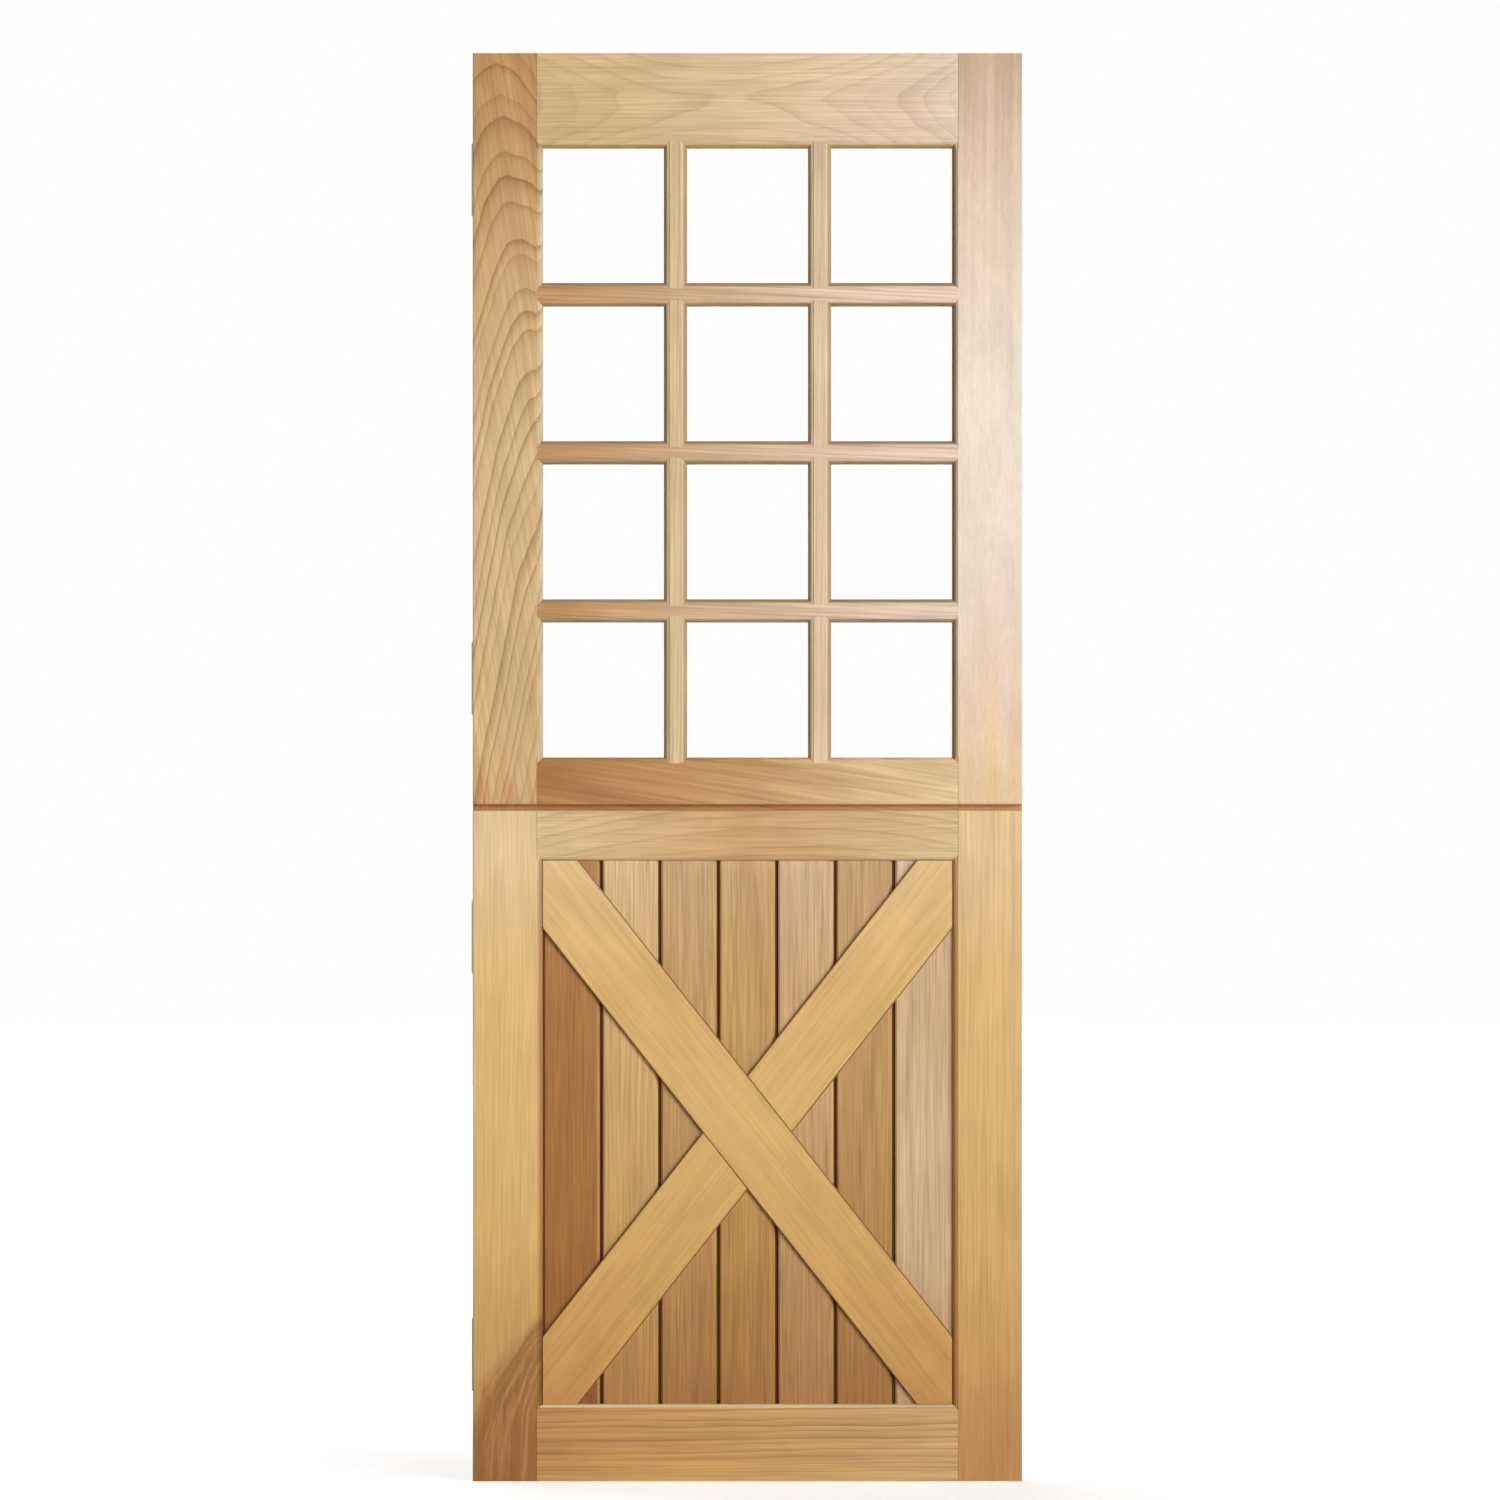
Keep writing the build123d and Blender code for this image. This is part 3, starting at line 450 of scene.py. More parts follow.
# %% Glazing bars
LEVEL_BAR_TONES = [(0.1, "#C29765"), (0.9, "#E9D2B8")]
UPRIGHT_BAR_TONES = ["#DBC097", "#DDC3A1"]
# Both sides of the bars' mouldings take this darker tone: painted shade
BAR_MOULDING_SHADE = "#A98F6C"
LEVEL_BARS = 3
for number in range(1, LEVEL_BARS + 1):
    dress(
        f"level_glazing_bar_{number}", "level", LEVEL_BAR_TONES, rings=5.0, pith=(70, 20 * number, 0),
        tilt=3, lines=0.5, streak=0.1, stains=[moulding_light_and_shade(BAR_MOULDING_SHADE)],
    )
for number, tone in enumerate(UPRIGHT_BAR_TONES, 1):
    dress(
        f"upright_glazing_bar_{number}", "up", [(0, tone)], rings=5.0, pith=(80, 25 * number, 0),
        lines=0.4, streak=0.1, stains=[moulding_light_and_shade(BAR_MOULDING_SHADE)],
    )
print("glazing bars dressed")

# %% [markdown]
# ## Glazing beads
# Four mitred strips hold each pane from the back. All of them were run off the same moulding, so the
# grain follows each strip: along a level one, and up an upright one. The strips of a row are one
# piece here, so the material turns the log itself. A point belongs to an upright strip when it lies
# nearer to a side of its pane than to the pane's head or foot, which also gives the mitres.

# %% Beads
def bead_strips(row):
    """Lays the log along X in the level strips of a row of beads, and along Z in the upright ones."""
    low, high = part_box(f"glazing_beads_row_{row}")
    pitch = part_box(f"glass_pane_{row}_2")[0].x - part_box(f"glass_pane_{row}_1")[0].x
    half_width = (high.x - low.x) / 2 - abs(pitch)
    half_height = (high.z - low.z) / 2
    middle = (low.z + high.z) / 2

    def laid(tree, place):
        x, y, z = add(tree, "SeparateXYZ", [place]).node.outputs
        within = add(tree, "Math", [x, pitch / 2, -pitch / 2], operation="WRAP")
        aside = add(tree, "Math", [within], operation="ABSOLUTE")
        from_side = add(tree, "Math", [half_width, aside], operation="SUBTRACT")
        rise = add(tree, "Math", [z, middle], operation="SUBTRACT")
        apart = add(tree, "Math", [rise], operation="ABSOLUTE")
        from_end = add(tree, "Math", [half_height, apart], operation="SUBTRACT")
        upright = add(tree, "Math", [from_side, from_end], operation="LESS_THAN")
        turned = add(tree, "CombineXYZ", [z, y, x])
        return add(tree, "Mix", {0: upright, 4: place, 5: turned}, out=1, data_type="VECTOR")

    return laid


for row in range(1, LEVEL_BARS + 2):
    dress(
        f"glazing_beads_row_{row}", "level", [(0, "#CFB183"), (1, "#DCC29B")],
        rings=6.0, pith=(90, 40, 0), lines=0.1, lay=bead_strips(row),
    )
print("glazing beads dressed")

# %% [markdown]
# ## How the lower leaf darkens
# Stiles, braces and boards of the lower leaf all deepen towards the floor, whatever their own tone
# is, and this is partly painted shade. Each could have darker stops of its own, but then they would
# not keep step, so one ramp over the leaf's height is multiplied into the frame and a deeper one
# into the boards. Heartwood comes out at the foot of the hinge stile as a long brown flame. The thin
# dark lines round the braces and between the boards are painted shade, where the braces stand on
# the boards and where the slots sink between them.

# %% Darker towards the floor
FLOOR_DARKENING = [
    (0.06, "#FFFFFF"), (0.24, "#F7F0D7"), (0.48, "#F2EACD"), (0.69, "#E8DBB6"), (0.94, "#D1B797"),
]
BOARD_FLOOR_DARKENING = [
    (0.06, "#FFFFFF"), (0.24, "#F7F0D7"), (0.48, "#EDE2C1"), (0.69, "#E1D0A7"), (0.94, "#C6A883"),
]


def darker_towards_floor(stops):
    """The leaf deepens towards the floor, the boards more than their frame, partly as painted shade.
    """

    def recoloured(tree, place, log, colour):
        height = add(tree, "SeparateXYZ", [place], out="Z")
        share = add(tree, "MapRange", [height, LEAF_TOP, 0, 0, 1])
        depth = add(tree, "ValToRGB", [share], stops=stops)
        return add(tree, "VectorMath", [colour, depth], operation="MULTIPLY")

    return recoloured


print("the lower leaf ages over", round(LEAF_TOP, 3), "m")

# %% Heartwood
# The edge of the flame starts at the outer edge of the stile and rises as a power curve
HEARTWOOD = "#CBBAA6"
HEART_HEIGHT = 214 * MM
HEART_REACH = 85 * MM
HEART_POWER = 2.8
HEART_OFFSET = 4 * MM
HEART_EDGE = 26 * MM
HEART_WOBBLE = (26 * MM, 90 * MM)
FLAME_STREAK = (8 * MM, 120 * MM)
FLAME_RANGE = (0.3, 0.65)
FLAME_STRENGTH = (0.4, 1.3)


def flamed(tree, place, log, colour):
    """Brown heartwood at the foot of the hinge stile, inside a curve that rises from its edge."""
    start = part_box("lower_hinge_stile")[0].x - HEART_OFFSET
    side = add(tree, "SeparateXYZ", [place], out="X")
    height = add(tree, "SeparateXYZ", [place], out="Z")
    rise = add(tree, "Math", [height, HEART_HEIGHT], operation="DIVIDE")
    swell = add(tree, "Math", [rise, HEART_POWER], operation="POWER")
    edge = add(tree, "Math", [swell, HEART_REACH, start], operation="MULTIPLY_ADD")
    wobble = grain(tree, log, HEART_WOBBLE)
    moved = add(tree, "Math", [wobble, HEART_EDGE, side], operation="MULTIPLY_ADD")
    inside = add(tree, "Math", [moved, edge], operation="SUBTRACT")
    share = add(tree, "MapRange", [inside, 0, HEART_EDGE, 0, 1], interpolation_type="SMOOTHSTEP")
    nested = add(tree, "CombineXYZ", [inside, 0, height])
    streak = grain(tree, nested, FLAME_STREAK)
    strong = add(tree, "MapRange", [streak, *FLAME_RANGE, *FLAME_STRENGTH])
    share = add(tree, "Math", [share, strong], operation="MULTIPLY")
    both = {0: share, 6: colour, 7: linear(HEARTWOOD)}
    return add(tree, "Mix", both, out=2, data_type="RGBA", blend_type="MULTIPLY")


print("the flame rises", round(HEART_HEIGHT / MM), "mm")

# %% Painted shade in slots and along braces, and a painted highlight beside a slot
ARRIS_LINE = 2.6 * MM
ARRIS_CORE = 0.4 * ARRIS_LINE
ARRIS_SHARE = 0.75
SLOT_HALF_WIDTH = 2.5 * MM
SLOT_SOFTNESS = 0.3 * MM
# A paler band beside the first slot: a painted highlight on the board's bevel
ARRIS_HIGHLIGHT_BAND = 8 * MM
ARRIS_HIGHLIGHT_TONE = "#C09269"
ARRIS_HIGHLIGHT_SHARE = 0.8


def brace_edge_painted_shade(half_width):
    """Painted shade: dark lines along both long edges of a brace, where it stands on the boards."""

    def recoloured(tree, place, log, colour):
        side = add(tree, "SeparateXYZ", [log], out="X")
        across = add(tree, "Math", [side], operation="ABSOLUTE")
        band = [across, half_width - ARRIS_LINE, half_width - ARRIS_CORE, 0, ARRIS_SHARE]
        line = add(tree, "MapRange", band, interpolation_type="SMOOTHSTEP")
        both = {0: line, 6: colour, 7: linear(DARK_JOINT_AND_SHADE)}
        return add(tree, "Mix", both, out=2, data_type="RGBA")

    return recoloured


def slot_painted_shade(middle):
    """Painted shade: a dark band as wide as the slot that shows between two boards."""

    def recoloured(tree, place, log, colour):
        side = add(tree, "SeparateXYZ", [place], out="X")
        offset = add(tree, "Math", [side, middle], operation="SUBTRACT")
        apart = add(tree, "Math", [offset], operation="ABSOLUTE")
        ends = [apart, SLOT_HALF_WIDTH - SLOT_SOFTNESS, SLOT_HALF_WIDTH + SLOT_SOFTNESS, 1, 0]
        band = add(tree, "MapRange", ends, interpolation_type="SMOOTHSTEP")
        both = {0: band, 6: colour, 7: linear(DARK_JOINT_AND_SHADE)}
        return add(tree, "Mix", both, out=2, data_type="RGBA")

    return recoloured


def arris_painted_highlight(middle):
    """Painted highlight: a paler band on a board beside its slot, where its bevel faces the light."""

    def recoloured(tree, place, log, colour):
        side = add(tree, "SeparateXYZ", [place], out="X")
        offset = add(tree, "Math", [side, middle], operation="SUBTRACT")
        ends = [offset, -ARRIS_HIGHLIGHT_BAND, -ARRIS_HIGHLIGHT_BAND / 2, 0, ARRIS_HIGHLIGHT_SHARE]
        band = add(tree, "MapRange", ends, interpolation_type="SMOOTHSTEP")
        both = {0: band, 6: colour, 7: linear(ARRIS_HIGHLIGHT_TONE)}
        return add(tree, "Mix", both, out=2, data_type="RGBA")

    return recoloured


print("slots show", 2 * SLOT_HALF_WIDTH / MM, "mm wide")

# %% [markdown]
# ## The boarded leaf
# The lower stiles and the braces come from the same golden stock with a quiet straight grain. The
# boards behind them are the most mixed pieces of all, from red-brown to pale pink. They are cut by
# the same function as the upper leaf, and only their stains and painted light differ. A brace's log
# leans with it, so the painted shade along its edges is found by how far a point lies from the
# middle of that log.

# %% Lower stiles and rails
dress(
    "lower_hinge_stile", "up", [(0, "#E9C897")], rings=6.0, pith=(190, 40, 0),
    lines=0.12, streak=0.04, fibre=0.1, blush=0.2,
    stains=[
        moulding_light_and_shade("#A67D57"), joint_lines_and_moulding_light("#B88E66", "bottom_rail", "lower_meeting_rail"),
        darker_towards_floor(FLOOR_DARKENING), flamed,
    ],
)
dress(
    "lower_lock_stile", "up", [(0, "#E6C494")], rings=6.0, pith=(170, 60, 0),
    lines=0.12, streak=0.04, fibre=0.1, blush=0.2,
    stains=[
        moulding_light_and_shade("#C08F58"), joint_lines_and_moulding_light("#C08F58", "bottom_rail", "lower_meeting_rail"),
        darker_towards_floor(FLOOR_DARKENING),
    ],
)
dress(
    "lower_meeting_rail", "level",
    [(0, "#E3C696"), (0.5, "#CDA470"), (1, "#E2C395")],
    rings=12.0, pith=(-120, 45, 42), bow=0.35, taper=0, wave=14, lines=0.33, streak=0.03,
)
dress(
    "bottom_rail", "level",
    [(0, "#BF8F55"), (0.5, "#C89E64"), (1, "#CEAA74")],
    rings=7.5, pith=(110, 40, 0), wave=12, lines=0.65, streak=0.1,
    # The rail's moulding faces up, and its pale tone is a painted highlight
    stains=[moulding_light_and_shade("#EDCDA0")],
)
print("lower leaf framed")

# %% Boards
# Rings and pith differ from board to board, in mm
FINEST_RINGS = 3.5
RING_STEPS = 3
PITH_START = 140
PITH_STEP = 35
PITH_BEHIND = 60
BOARD_TONES = ["#B28354", "#DCBB8E", "#CAA77D", "#CCA978", "#D6B593", "#C8A479", "#D8BCA0"]
LAST_BOARD_FOOT = "#E0C8B8"
# The first board has painted shade along the hinge stile too
FIRST_SLOT_OFFSET = 0.5 * MM
slots = [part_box(f"board_{number}")[0].x for number in range(2, len(BOARD_TONES) + 1)]
first_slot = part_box("long_brace")[0].x + FIRST_SLOT_OFFSET
for number, tone in enumerate(BOARD_TONES, 1):
    tones = [(0, tone)]
    darkening = BOARD_FLOOR_DARKENING
    slot_light_and_shade = [slot_painted_shade(middle) for middle in slots[number - 1:number]]
    if number == 1:
        slot_light_and_shade = [arris_painted_highlight(slots[0]), *slot_light_and_shade, slot_painted_shade(first_slot)]
    if number == len(BOARD_TONES):
        tones = [(0.3, tone), (0.55, LAST_BOARD_FOOT)]
        darkening = FLOOR_DARKENING
    dress(
        f"board_{number}", "up", tones, rings=FINEST_RINGS + number % RING_STEPS,
        pith=(PITH_START - PITH_STEP * number, PITH_BEHIND, 0),
        lines=0.3, streak=0.06, fibre=0.17, wave=8, stains=[darker_towards_floor(darkening), *slot_light_and_shade],
    )
print("slots between boards at", [round(x, 4) for x in slots])

# %% Braces
# How far each end of the long brace lies along the rail and along the stile
BRACE_TOE_ON_RAIL = 50 * MM
BRACE_TOE_ON_STILE = 95 * MM
brace_low, brace_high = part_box("long_brace")
brace_size = brace_high - brace_low
lean = math.atan2(brace_size.x - BRACE_TOE_ON_RAIL, brace_size.z - BRACE_TOE_ON_STILE)
half_width = (BRACE_TOE_ON_RAIL * math.cos(lean) + BRACE_TOE_ON_STILE * math.sin(lean)) / 2
for node in ("long_brace", "upper_half_brace", "lower_half_brace"):
    tilt = -math.degrees(lean) if node == "long_brace" else math.degrees(lean)
    dress(
        node, "up", [(0, "#E5C18A")], rings=6.0, pith=(0, 150, 0), tilt=tilt,
        lines=0.14, streak=0.035, fibre=0.08, blush=0.2, centre=(brace_low + brace_high) / 2,
        stains=[darker_towards_floor(FLOOR_DARKENING), brace_edge_painted_shade(half_width)],
    )
print("braces lean", round(math.degrees(lean), 1), "degrees, half width", round(half_width / MM, 1))

# %% [markdown]
# ## Glass and steel
# The panes are clear float glass, so they show what lies behind them and a faint reflection. Glass
# that bends light also stops the lamps' shadow rays, so those rays meet a clear shader instead and
# the light goes through to the floor. The hinges and the bolt are steel with a brushed satin face:
# brushing leaves fine scratches along the piece, which spread the highlight.

# %% Float glass
glass, tree = new_material("clear_float_glass")
pane = {"Base Color": linear("#FFFFFF"), "Roughness": 0, "IOR": 1.5, "Transmission Weight": 1}
skin = add(tree, "BsdfPrincipled", pane)
from_lamps = add(tree, "LightPath", out="Is Shadow Ray")
passing = add(tree, "BsdfTransparent")
both = add(tree, "MixShader", [from_lamps, skin, passing])
add(tree, "OutputMaterial", [both])
panes = [name for name in nodes if name.startswith("glass_pane")]
for name in panes:
    nodes[name].material_slots[0].material = glass
print("panes of glass:", len(panes))

# %% Satin steel
BRUSH = (0.4 * MM, 14 * MM)
BRUSH_RANGE = (0.2, 0.8)
SATIN = (0.26, 0.42)
SCRATCH_DEPTH = 0.05 * MM
SCRATCH_STRENGTH = 0.1
steel, tree = new_material("brushed_satin_steel")
place = add(tree, "TexCoord", out="Object")
brush = grain(tree, place, BRUSH)
both = {0: brush, 6: linear("#8A8986"), 7: linear("#BAB9B5")}
tint = add(tree, "Mix", both, out=2, data_type="RGBA")
rough = add(tree, "MapRange", [brush, *BRUSH_RANGE, *SATIN])
relief = {"Height": brush, "Strength": SCRATCH_STRENGTH, "Distance": SCRATCH_DEPTH}
scratch = add(tree, "Bump", relief)
metal = {"Base Color": tint, "Metallic": 1, "Roughness": rough, "Normal": scratch}
skin = add(tree, "BsdfPrincipled", metal)
add(tree, "OutputMaterial", [skin])
fittings = [name for name in nodes if "leaf" in name and "hinge" in name or name.startswith("bolt_")]
for name in fittings:
    nodes[name].material_slots[0].material = steel
print("steel fittings:", len(fittings))

# %% [markdown]
# ## Wood screws
# Countersunk screws hold the hinges and the bolt. A screw is turned, so it starts as a cylinder as
# deep as its head, the lower end is drawn in to the shank, and shank and point are extruded from
# it. The driver's recess is a cross, made from one small box with its four sides pulled out and its
# foot drawn in, and cut from the head by a Boolean. The thread is a triangle that a Screw modifier
# carries round the shank. A picture of a recess would do from far off, but a head is seen close by
# when a leaf stands open.

# %% Working in edit mode
def edit(piece):
    """Opens one piece alone in edit mode, with nothing of it selected."""
    bpy.ops.object.select_all(action="DESELECT")
    piece.select_set(True)
    bpy.context.view_layer.objects.active = piece
    bpy.ops.object.mode_set(mode="EDIT")
    bpy.ops.mesh.select_mode(type="FACE")
    bpy.ops.mesh.select_all(action="DESELECT")


def pick(piece, wanted):
    """Selects the faces that a test of their normal wants, and no others."""
    bpy.ops.mesh.select_all(action="DESELECT")
    bpy.ops.object.mode_set(mode="OBJECT")
    for face in piece.data.polygons:
        face.select = wanted(face.normal)
    bpy.ops.object.mode_set(mode="EDIT")


def downwards(normal):
    return normal.z < -0.9


def upwards(normal):
    return normal.z > 0.9


def sideways(normal):
    return abs(normal.z) < 0.1


def pull(distance):
    """Extrudes what is selected along Z."""
    bpy.ops.mesh.extrude_region_move(TRANSFORM_OT_translate={"value": (0, 0, distance)})


def draw_in(share):
    """Narrows what is selected towards the Z axis."""
    bpy.ops.transform.resize(value=(share, share, 1), center_override=(0, 0, 0))


def apply_all(piece):
    """Applies a piece's modifiers."""
    bpy.ops.object.mode_set(mode="OBJECT")
    bpy.context.view_layer.objects.active = piece
    for modifier in list(piece.modifiers):
        bpy.ops.object.modifier_apply(modifier=modifier.name)


print("edit mode helpers ready")

# %% Recess
RECESS_WIDTH_SHARE = 0.22
RECESS_REACH_SHARE = 0.42
RECESS_DEPTH_SHARE = 0.75
RECESS_FOOT_SHARE = 0.5


def cross_recess(head_radius, head_depth):
    """Cutter for a cross recess: a box with its sides pulled out and its foot drawn in."""
    width = RECESS_WIDTH_SHARE * head_radius
    reach = RECESS_REACH_SHARE * head_radius
    height = 2 * RECESS_DEPTH_SHARE * head_depth
    bpy.ops.mesh.primitive_cube_add(size=1, scale=(width, width, height))
    cutter = bpy.context.object
    bpy.ops.object.transform_apply(location=False, rotation=False)
    edit(cutter)
    pick(cutter, sideways)
    bpy.ops.mesh.extrude_faces_move(TRANSFORM_OT_shrink_fatten={"value": reach})
    pick(cutter, downwards)
    draw_in(RECESS_FOOT_SHARE)
    bpy.ops.object.mode_set(mode="OBJECT")
    return cutter


print("a recess is", RECESS_DEPTH_SHARE, "of its head deep")

# %% Thread
THREAD_STEPS = 12
THREAD_SHARE = 0.55
PITCH_SHARE = 0.8


def thread(radius, length, pitch):
    """Ridge of a triangle that winds down the shank."""
    bpy.ops.mesh.primitive_circle_add(
        vertices=3, radius=pitch / 2, fill_type="NOTHING", location=(radius, 0, 0),
        rotation=(math.radians(90), math.radians(90), 0),
    )
    ridge = bpy.context.object
    bpy.ops.object.transform_apply(location=True, rotation=True)
    winding = ridge.modifiers.new("winding", "SCREW")
    winding.steps = winding.render_steps = THREAD_STEPS
    winding.screw_offset = -pitch
    winding.iterations = int(length / pitch)
    winding.use_normal_calculate = True
    apply_all(ridge)
    edit(ridge)
    bpy.ops.mesh.select_mode(type="EDGE")
    bpy.ops.mesh.select_non_manifold()
    bpy.ops.mesh.fill()
    bpy.ops.mesh.select_all(action="SELECT")
    bpy.ops.mesh.normals_make_consistent(inside=False)
    bare_shank = length / THREAD_SHARE - length
    bpy.ops.transform.translate(value=(0, 0, -bare_shank))
    bpy.ops.object.mode_set(mode="OBJECT")
    return ridge


print("a thread covers", THREAD_SHARE, "of its shank")

# %% A countersunk screw
SCREW_SIDES = 24
POINT_SHARE = 0.15
TIP_SHARE = 0.1
SMOOTH_BELOW = math.radians(35)
HINGE_SCREW = {"radius": 2.3 * MM, "length": 32 * MM, "head_radius": 4.3 * MM, "head_depth": 1.7 * MM}
BOLT_SCREW = {"radius": 1.6 * MM, "length": 13 * MM, "head_radius": 3.0 * MM, "head_depth": 1.3 * MM}


def wood_screw(name, radius, length, head_radius, head_depth):
    """Countersunk screw that points down, with the top of its head at the origin."""
    bpy.ops.object.select_all(action="DESELECT")
    bpy.ops.mesh.primitive_cylinder_add(
        vertices=SCREW_SIDES, radius=head_radius, depth=head_depth, location=(0, 0, -head_depth / 2)
    )
    screw = bpy.context.object
    screw.name = name
    bpy.ops.object.transform_apply(location=True)
    shank = (length - head_depth) * (1 - POINT_SHARE)
    edit(screw)
    pick(screw, downwards)
    draw_in(radius / head_radius)
    pull(-shank)
    pull(-POINT_SHARE * (length - head_depth))
    draw_in(TIP_SHARE)
    bpy.ops.object.mode_set(mode="OBJECT")
    cutter = cross_recess(head_radius, head_depth)
    cut = screw.modifiers.new("recess", "BOOLEAN")
    cut.object = cutter
    cut.solver = "EXACT"
    apply_all(screw)
    bpy.data.objects.remove(cutter)
    ridge = thread(radius, THREAD_SHARE * shank, PITCH_SHARE * radius)
    bpy.ops.object.select_all(action="DESELECT")
    ridge.select_set(True)
    screw.select_set(True)
    bpy.context.view_layer.objects.active = screw
    bpy.ops.object.join()
    bpy.ops.object.shade_smooth_by_angle(angle=SMOOTH_BELOW)
    return screw


hinge_screw = wood_screw("hinge_screw", **HINGE_SCREW)
bolt_screw = wood_screw("bolt_screw", **BOLT_SCREW)
print("faces of a hinge screw:", len(hinge_screw.data.polygons))

# %% [markdown]
# ## Driving the screws home
# Each screw is a copy of one of the two, turned the way it is driven and set in its hole. Its place
# comes from the box of the solid screws that it stands for: their heads touch the sides of that
# box. The copies of a group are joined into one piece, which replaces the plain ones.

# %% Copies of one model
def copies(model, places, turns):
    """Copies of a model, each turned and set in its place, joined into one piece at the origin."""
    made = []
    for place, turn in zip(places, turns):
        bpy.ops.object.select_all(action="DESELECT")
        model.select_set(True)
        bpy.context.view_layer.objects.active = model
        bpy.ops.object.duplicate()
        copy = bpy.context.object
        copy.rotation_euler = turn
        copy.location = place
        bpy.ops.object.transform_apply(location=True, rotation=True)
        made.append(copy)
    bpy.ops.object.select_all(action="DESELECT")
    for copy in made:
        copy.select_set(True)
    bpy.context.view_layer.objects.active = made[0]
    bpy.ops.object.join()
    return made[0]


def fit_steel(piece, name, body):
    """Names a steel piece, gives it its finish and lets it ride on a body."""
    piece.name = name
    piece.data.name = name
    piece.data.materials.clear()
    piece.data.materials.append(steel)
    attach(piece, body)


print("screws to copy:", hinge_screw.name, bolt_screw.name)

# %% Screws of the hinges
HINGE_HEAD = HINGE_SCREW["head_radius"]
HINGE_ROW_OFFSET = 22 * MM
DRIVEN_RIGHT = (0, math.radians(-90), 0)
for leaf in ("upper", "lower"):
    node = f"{leaf}_leaf_hinge_screws"
    low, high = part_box(node)
    flaps = [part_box(f"{leaf}_leaf_{end}_hinge_door_flap") for end in ("top", "bottom")]
    middles = [(box[0].z + box[1].z) / 2 for box in flaps]
    heights = [middle + row for middle in middles for row in (-HINGE_ROW_OFFSET, HINGE_ROW_OFFSET)]
    places = [(low.x, y, z) for y in (low.y + HINGE_HEAD, high.y - HINGE_HEAD) for z in heights]
    screws = copies(hinge_screw, places, [DRIVEN_RIGHT] * len(places))
    fit_steel(screws, f"{leaf}_hinge_wood_screws", f"{leaf}_leaf")
    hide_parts(node)
    print(node, "at heights", [round(z, 3) for z in heights])

# %% Screws of the bolt
BOLT_HEAD = BOLT_SCREW["head_radius"]
DRIVEN_FORWARD = (math.radians(-90), 0, 0)
for node, body in (("bolt_plate_screws", "upper_leaf"), ("bolt_keeper_screws", "lower_leaf")):
    low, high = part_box(node)
    heights = sorted({round(low.z + BOLT_HEAD, 5), round(high.z - BOLT_HEAD, 5)})
    places = [(x, high.y, z) for x in (low.x + BOLT_HEAD, high.x - BOLT_HEAD) for z in heights]
    screws = copies(bolt_screw, places, [DRIVEN_FORWARD] * len(places))
    fit_steel(screws, node.replace("_screws", "_wood_screws"), body)
    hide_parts(node)
    print(node, "at", len(places), "places")

# %% [markdown]
# ## Brads in the glazing beads
# On the back, the beads that hold the glass are pinned with brads, two to a strip, driven at a
# slant through the splayed face. A brad's head is a tiny dome on a thin shank: a short cylinder
# with its top inset and raised and its foot drawn out. Each is a few dozen faces, because there
# are almost a hundred.

# %% One brad
BRAD_SIDES = 10
BRAD_HEAD = 1.0 * MM
BRAD_CROWN = 0.25 * MM
BRAD_LENGTH = 5 * MM
BRAD_NECK_SHARE = 0.5
BRAD_TIP_SHARE = 0.4
BRAD_DOME_SHARE = 0.45
BRAD_SMOOTH_BELOW = math.radians(50)
bpy.ops.object.select_all(action="DESELECT")
bpy.ops.mesh.primitive_cylinder_add(vertices=BRAD_SIDES, radius=BRAD_HEAD, depth=BRAD_CROWN)
brad = bpy.context.object
edit(brad)
pick(brad, downwards)
draw_in(BRAD_NECK_SHARE)
pull(-BRAD_LENGTH)
draw_in(BRAD_TIP_SHARE)
pick(brad, upwards)
bpy.ops.mesh.inset(thickness=BRAD_DOME_SHARE * BRAD_HEAD, depth=BRAD_CROWN)
bpy.ops.object.mode_set(mode="OBJECT")
bpy.ops.object.shade_smooth_by_angle(angle=BRAD_SMOOTH_BELOW)
print("faces of a brad:", len(brad.data.polygons))

# %% Brads in the beads
BRAD_FROM_GLASS_EDGE = 4.5 * MM
BRAD_FROM_BACK = 2 * MM
BRAD_PLACES = (0.2, 0.8)
slant = math.radians(45)
bead_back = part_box("glazing_beads_row_1")[1].y - BRAD_FROM_BACK
places, turns = [], []
for name in panes:
    low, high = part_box(name)
    left, right = low.x + BRAD_FROM_GLASS_EDGE, high.x - BRAD_FROM_GLASS_EDGE
    foot, top = low.z + BRAD_FROM_GLASS_EDGE, high.z - BRAD_FROM_GLASS_EDGE
    for share in BRAD_PLACES:
        x = left + share * (right - left)
        z = foot + share * (top - foot)
        places += [(x, bead_back, foot), (x, bead_back, top)]
        turns += [(-slant, 0, 0), (-3 * slant, 0, 0)]
        places += [(left, bead_back, z), (right, bead_back, z)]
        turns += [(-2 * slant, 0, -slant), (-2 * slant, 0, slant)]
brads = copies(brad, places, turns)
fit_steel(brads, "glazing_brads", "upper_leaf")
for model in (hinge_screw, bolt_screw, brad):
    bpy.data.objects.remove(model)
print("brads:", len(places))

# %% [markdown]
# ## Studio
# The door stands on a plain pale floor in soft light from the right, in front. Camera, mirror and
# glass rays see white behind it, and the light that reaches the wood from all round is weaker than
# that, so that mouldings keep their shaded side. A white floor could simply be lit until it clips,
# but then the door would clip too. So the floor glows for those rays alone: less near the door,
# where its shadow has to show, and as white as the backdrop further off.

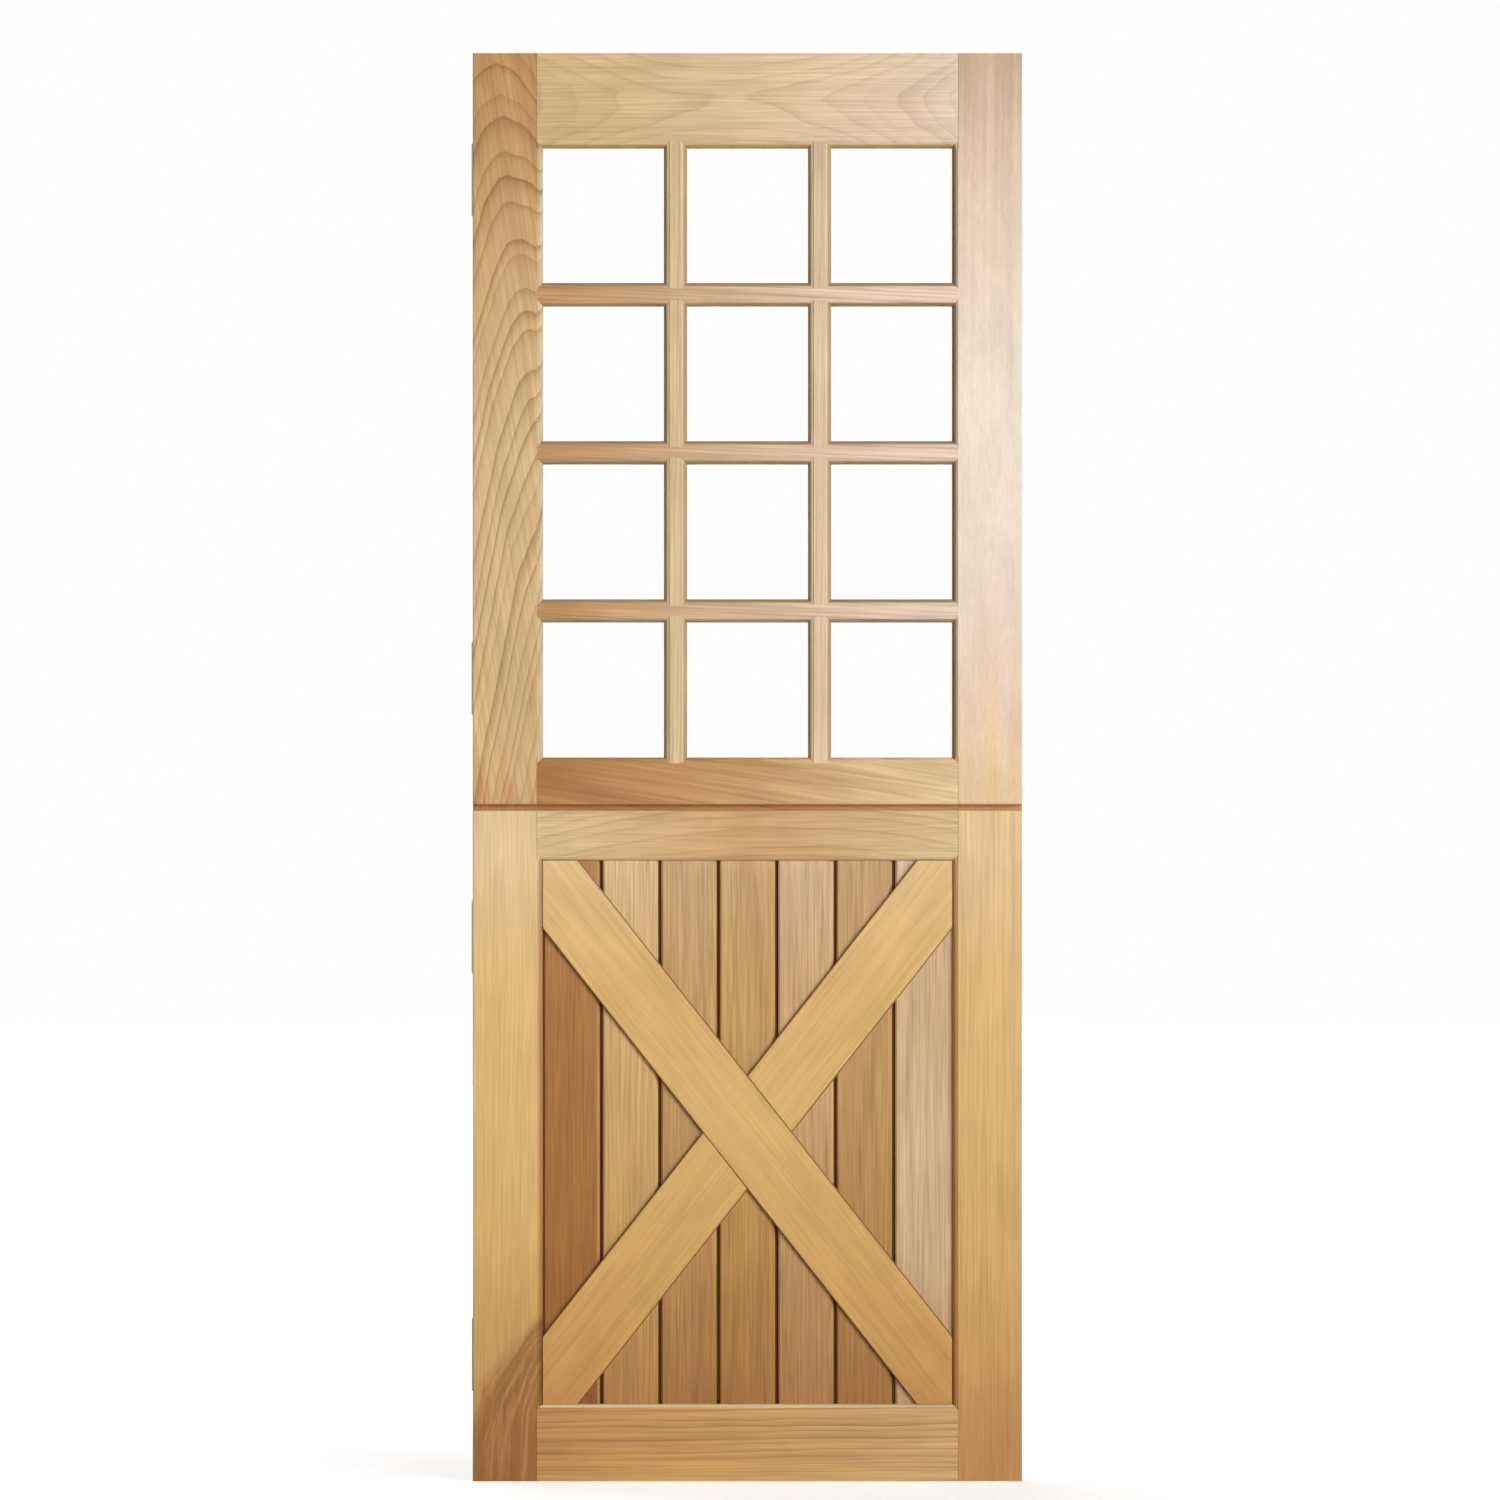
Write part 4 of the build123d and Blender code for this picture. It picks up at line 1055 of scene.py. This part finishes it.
# %% What the studio shows
def sees_studio(tree):
    """1 for the rays that show floor and backdrop: those of the camera, of mirrors and of glass."""
    rays = add(tree, "LightPath").node.outputs
    seen = add(tree, "Math", [rays["Is Camera Ray"], rays["Is Glossy Ray"]], operation="MAXIMUM")
    return add(tree, "Math", [seen, rays["Is Transmission Ray"]], operation="MAXIMUM")


print("rays that see white: camera, glossy, transmission")

# %% Floor
FLOOR_SIZE = 60.0
FLOOR_PAPER = "#EFEFEF"
FLOOR_GLOW = 0.62
SHADOW_REACH = 0.5
WHITE_FROM = 2.5
bpy.ops.object.select_all(action="DESELECT")
bpy.ops.mesh.primitive_plane_add(size=FLOOR_SIZE)
floor = bpy.context.object
floor.name = "studio_floor"
material, tree = new_material("white_studio_floor")
paper = add(tree, "BsdfDiffuse", [linear(FLOOR_PAPER)])
place = add(tree, "TexCoord", out="Object")
away = add(tree, "VectorMath", [place], out="Value", operation="LENGTH")
fade = add(tree, "MapRange", [away, SHADOW_REACH, WHITE_FROM, FLOOR_GLOW, 1])
level = add(tree, "Math", [sees_studio(tree), fade], operation="MULTIPLY")
glow = add(tree, "Emission", {"Strength": level})
both = add(tree, "AddShader", [paper, glow])
add(tree, "OutputMaterial", [both])
floor.data.materials.append(material)
print("floor:", floor.name)

# %% World
AMBIENT = 0.05
world = bpy.data.worlds.new("white_studio")
bpy.context.scene.world = world
world.use_nodes = True
tree = world.node_tree
tree.nodes.clear()
strength = add(tree, "MapRange", [sees_studio(tree), 0, 1, AMBIENT, 1])
sky = add(tree, "Background", [linear("#FFFFFF"), strength])
add(tree, "OutputWorld", [sky])
print("ambient level:", AMBIENT)

# %% Lamps
# Direction to each lamp and its power in watts, with distance and size in metres
LAMPS = {"key": ((0.54, -0.84, 0.03), 5600), "back": ((-0.35, 0.89, 0.28), 2900)}
LAMP_DISTANCE = 18.0
LAMP_SIZE = 15.0
for name, (direction, power) in LAMPS.items():
    light = bpy.data.lights.new(name, "AREA")
    light.shape = "SQUARE"
    light.size = LAMP_SIZE
    light.energy = power
    lamp = bpy.data.objects.new(name, light)
    bpy.context.scene.collection.objects.link(lamp)
    away = Vector(direction).normalized()
    lamp.location = DOOR_MIDDLE + away * LAMP_DISTANCE
    lamp.rotation_euler = away.to_track_quat("Z", "Y").to_euler()
    lamp.visible_camera = False
    lamp.visible_transmission = False
    lamp.visible_glossy = name == "key"
    print(name, "lamp at", [round(v, 2) for v in lamp.location])

# %% [markdown]
# ## Camera
# The door is seen square on and almost without perspective. An orthographic camera would flatten
# it altogether, and the sides of the bars would never show. So the camera has a long lens and
# stands as far back as the width of the picture asks.

# %% Camera
# Width of the picture at the face of the door, and the point that it is centred on, in metres
FRAME_WIDTH = 2.0805
AIM_X = 0.0035
AIM_Z = 1.0144
LENS = 300
SENSOR = 36
camera = bpy.data.cameras.new("camera")
camera.lens = LENS
camera.sensor_width = SENSOR
viewer = bpy.data.objects.new("camera", camera)
bpy.context.scene.collection.objects.link(viewer)
viewer.location = (AIM_X, cad_box[0].y - FRAME_WIDTH * LENS / SENSOR, AIM_Z)
viewer.rotation_euler = (math.radians(90), 0, 0)
bpy.context.scene.camera = viewer
bpy.context.scene.view_settings.view_transform = "Standard"
print("camera stands off", round(-viewer.location.y, 2), "m")
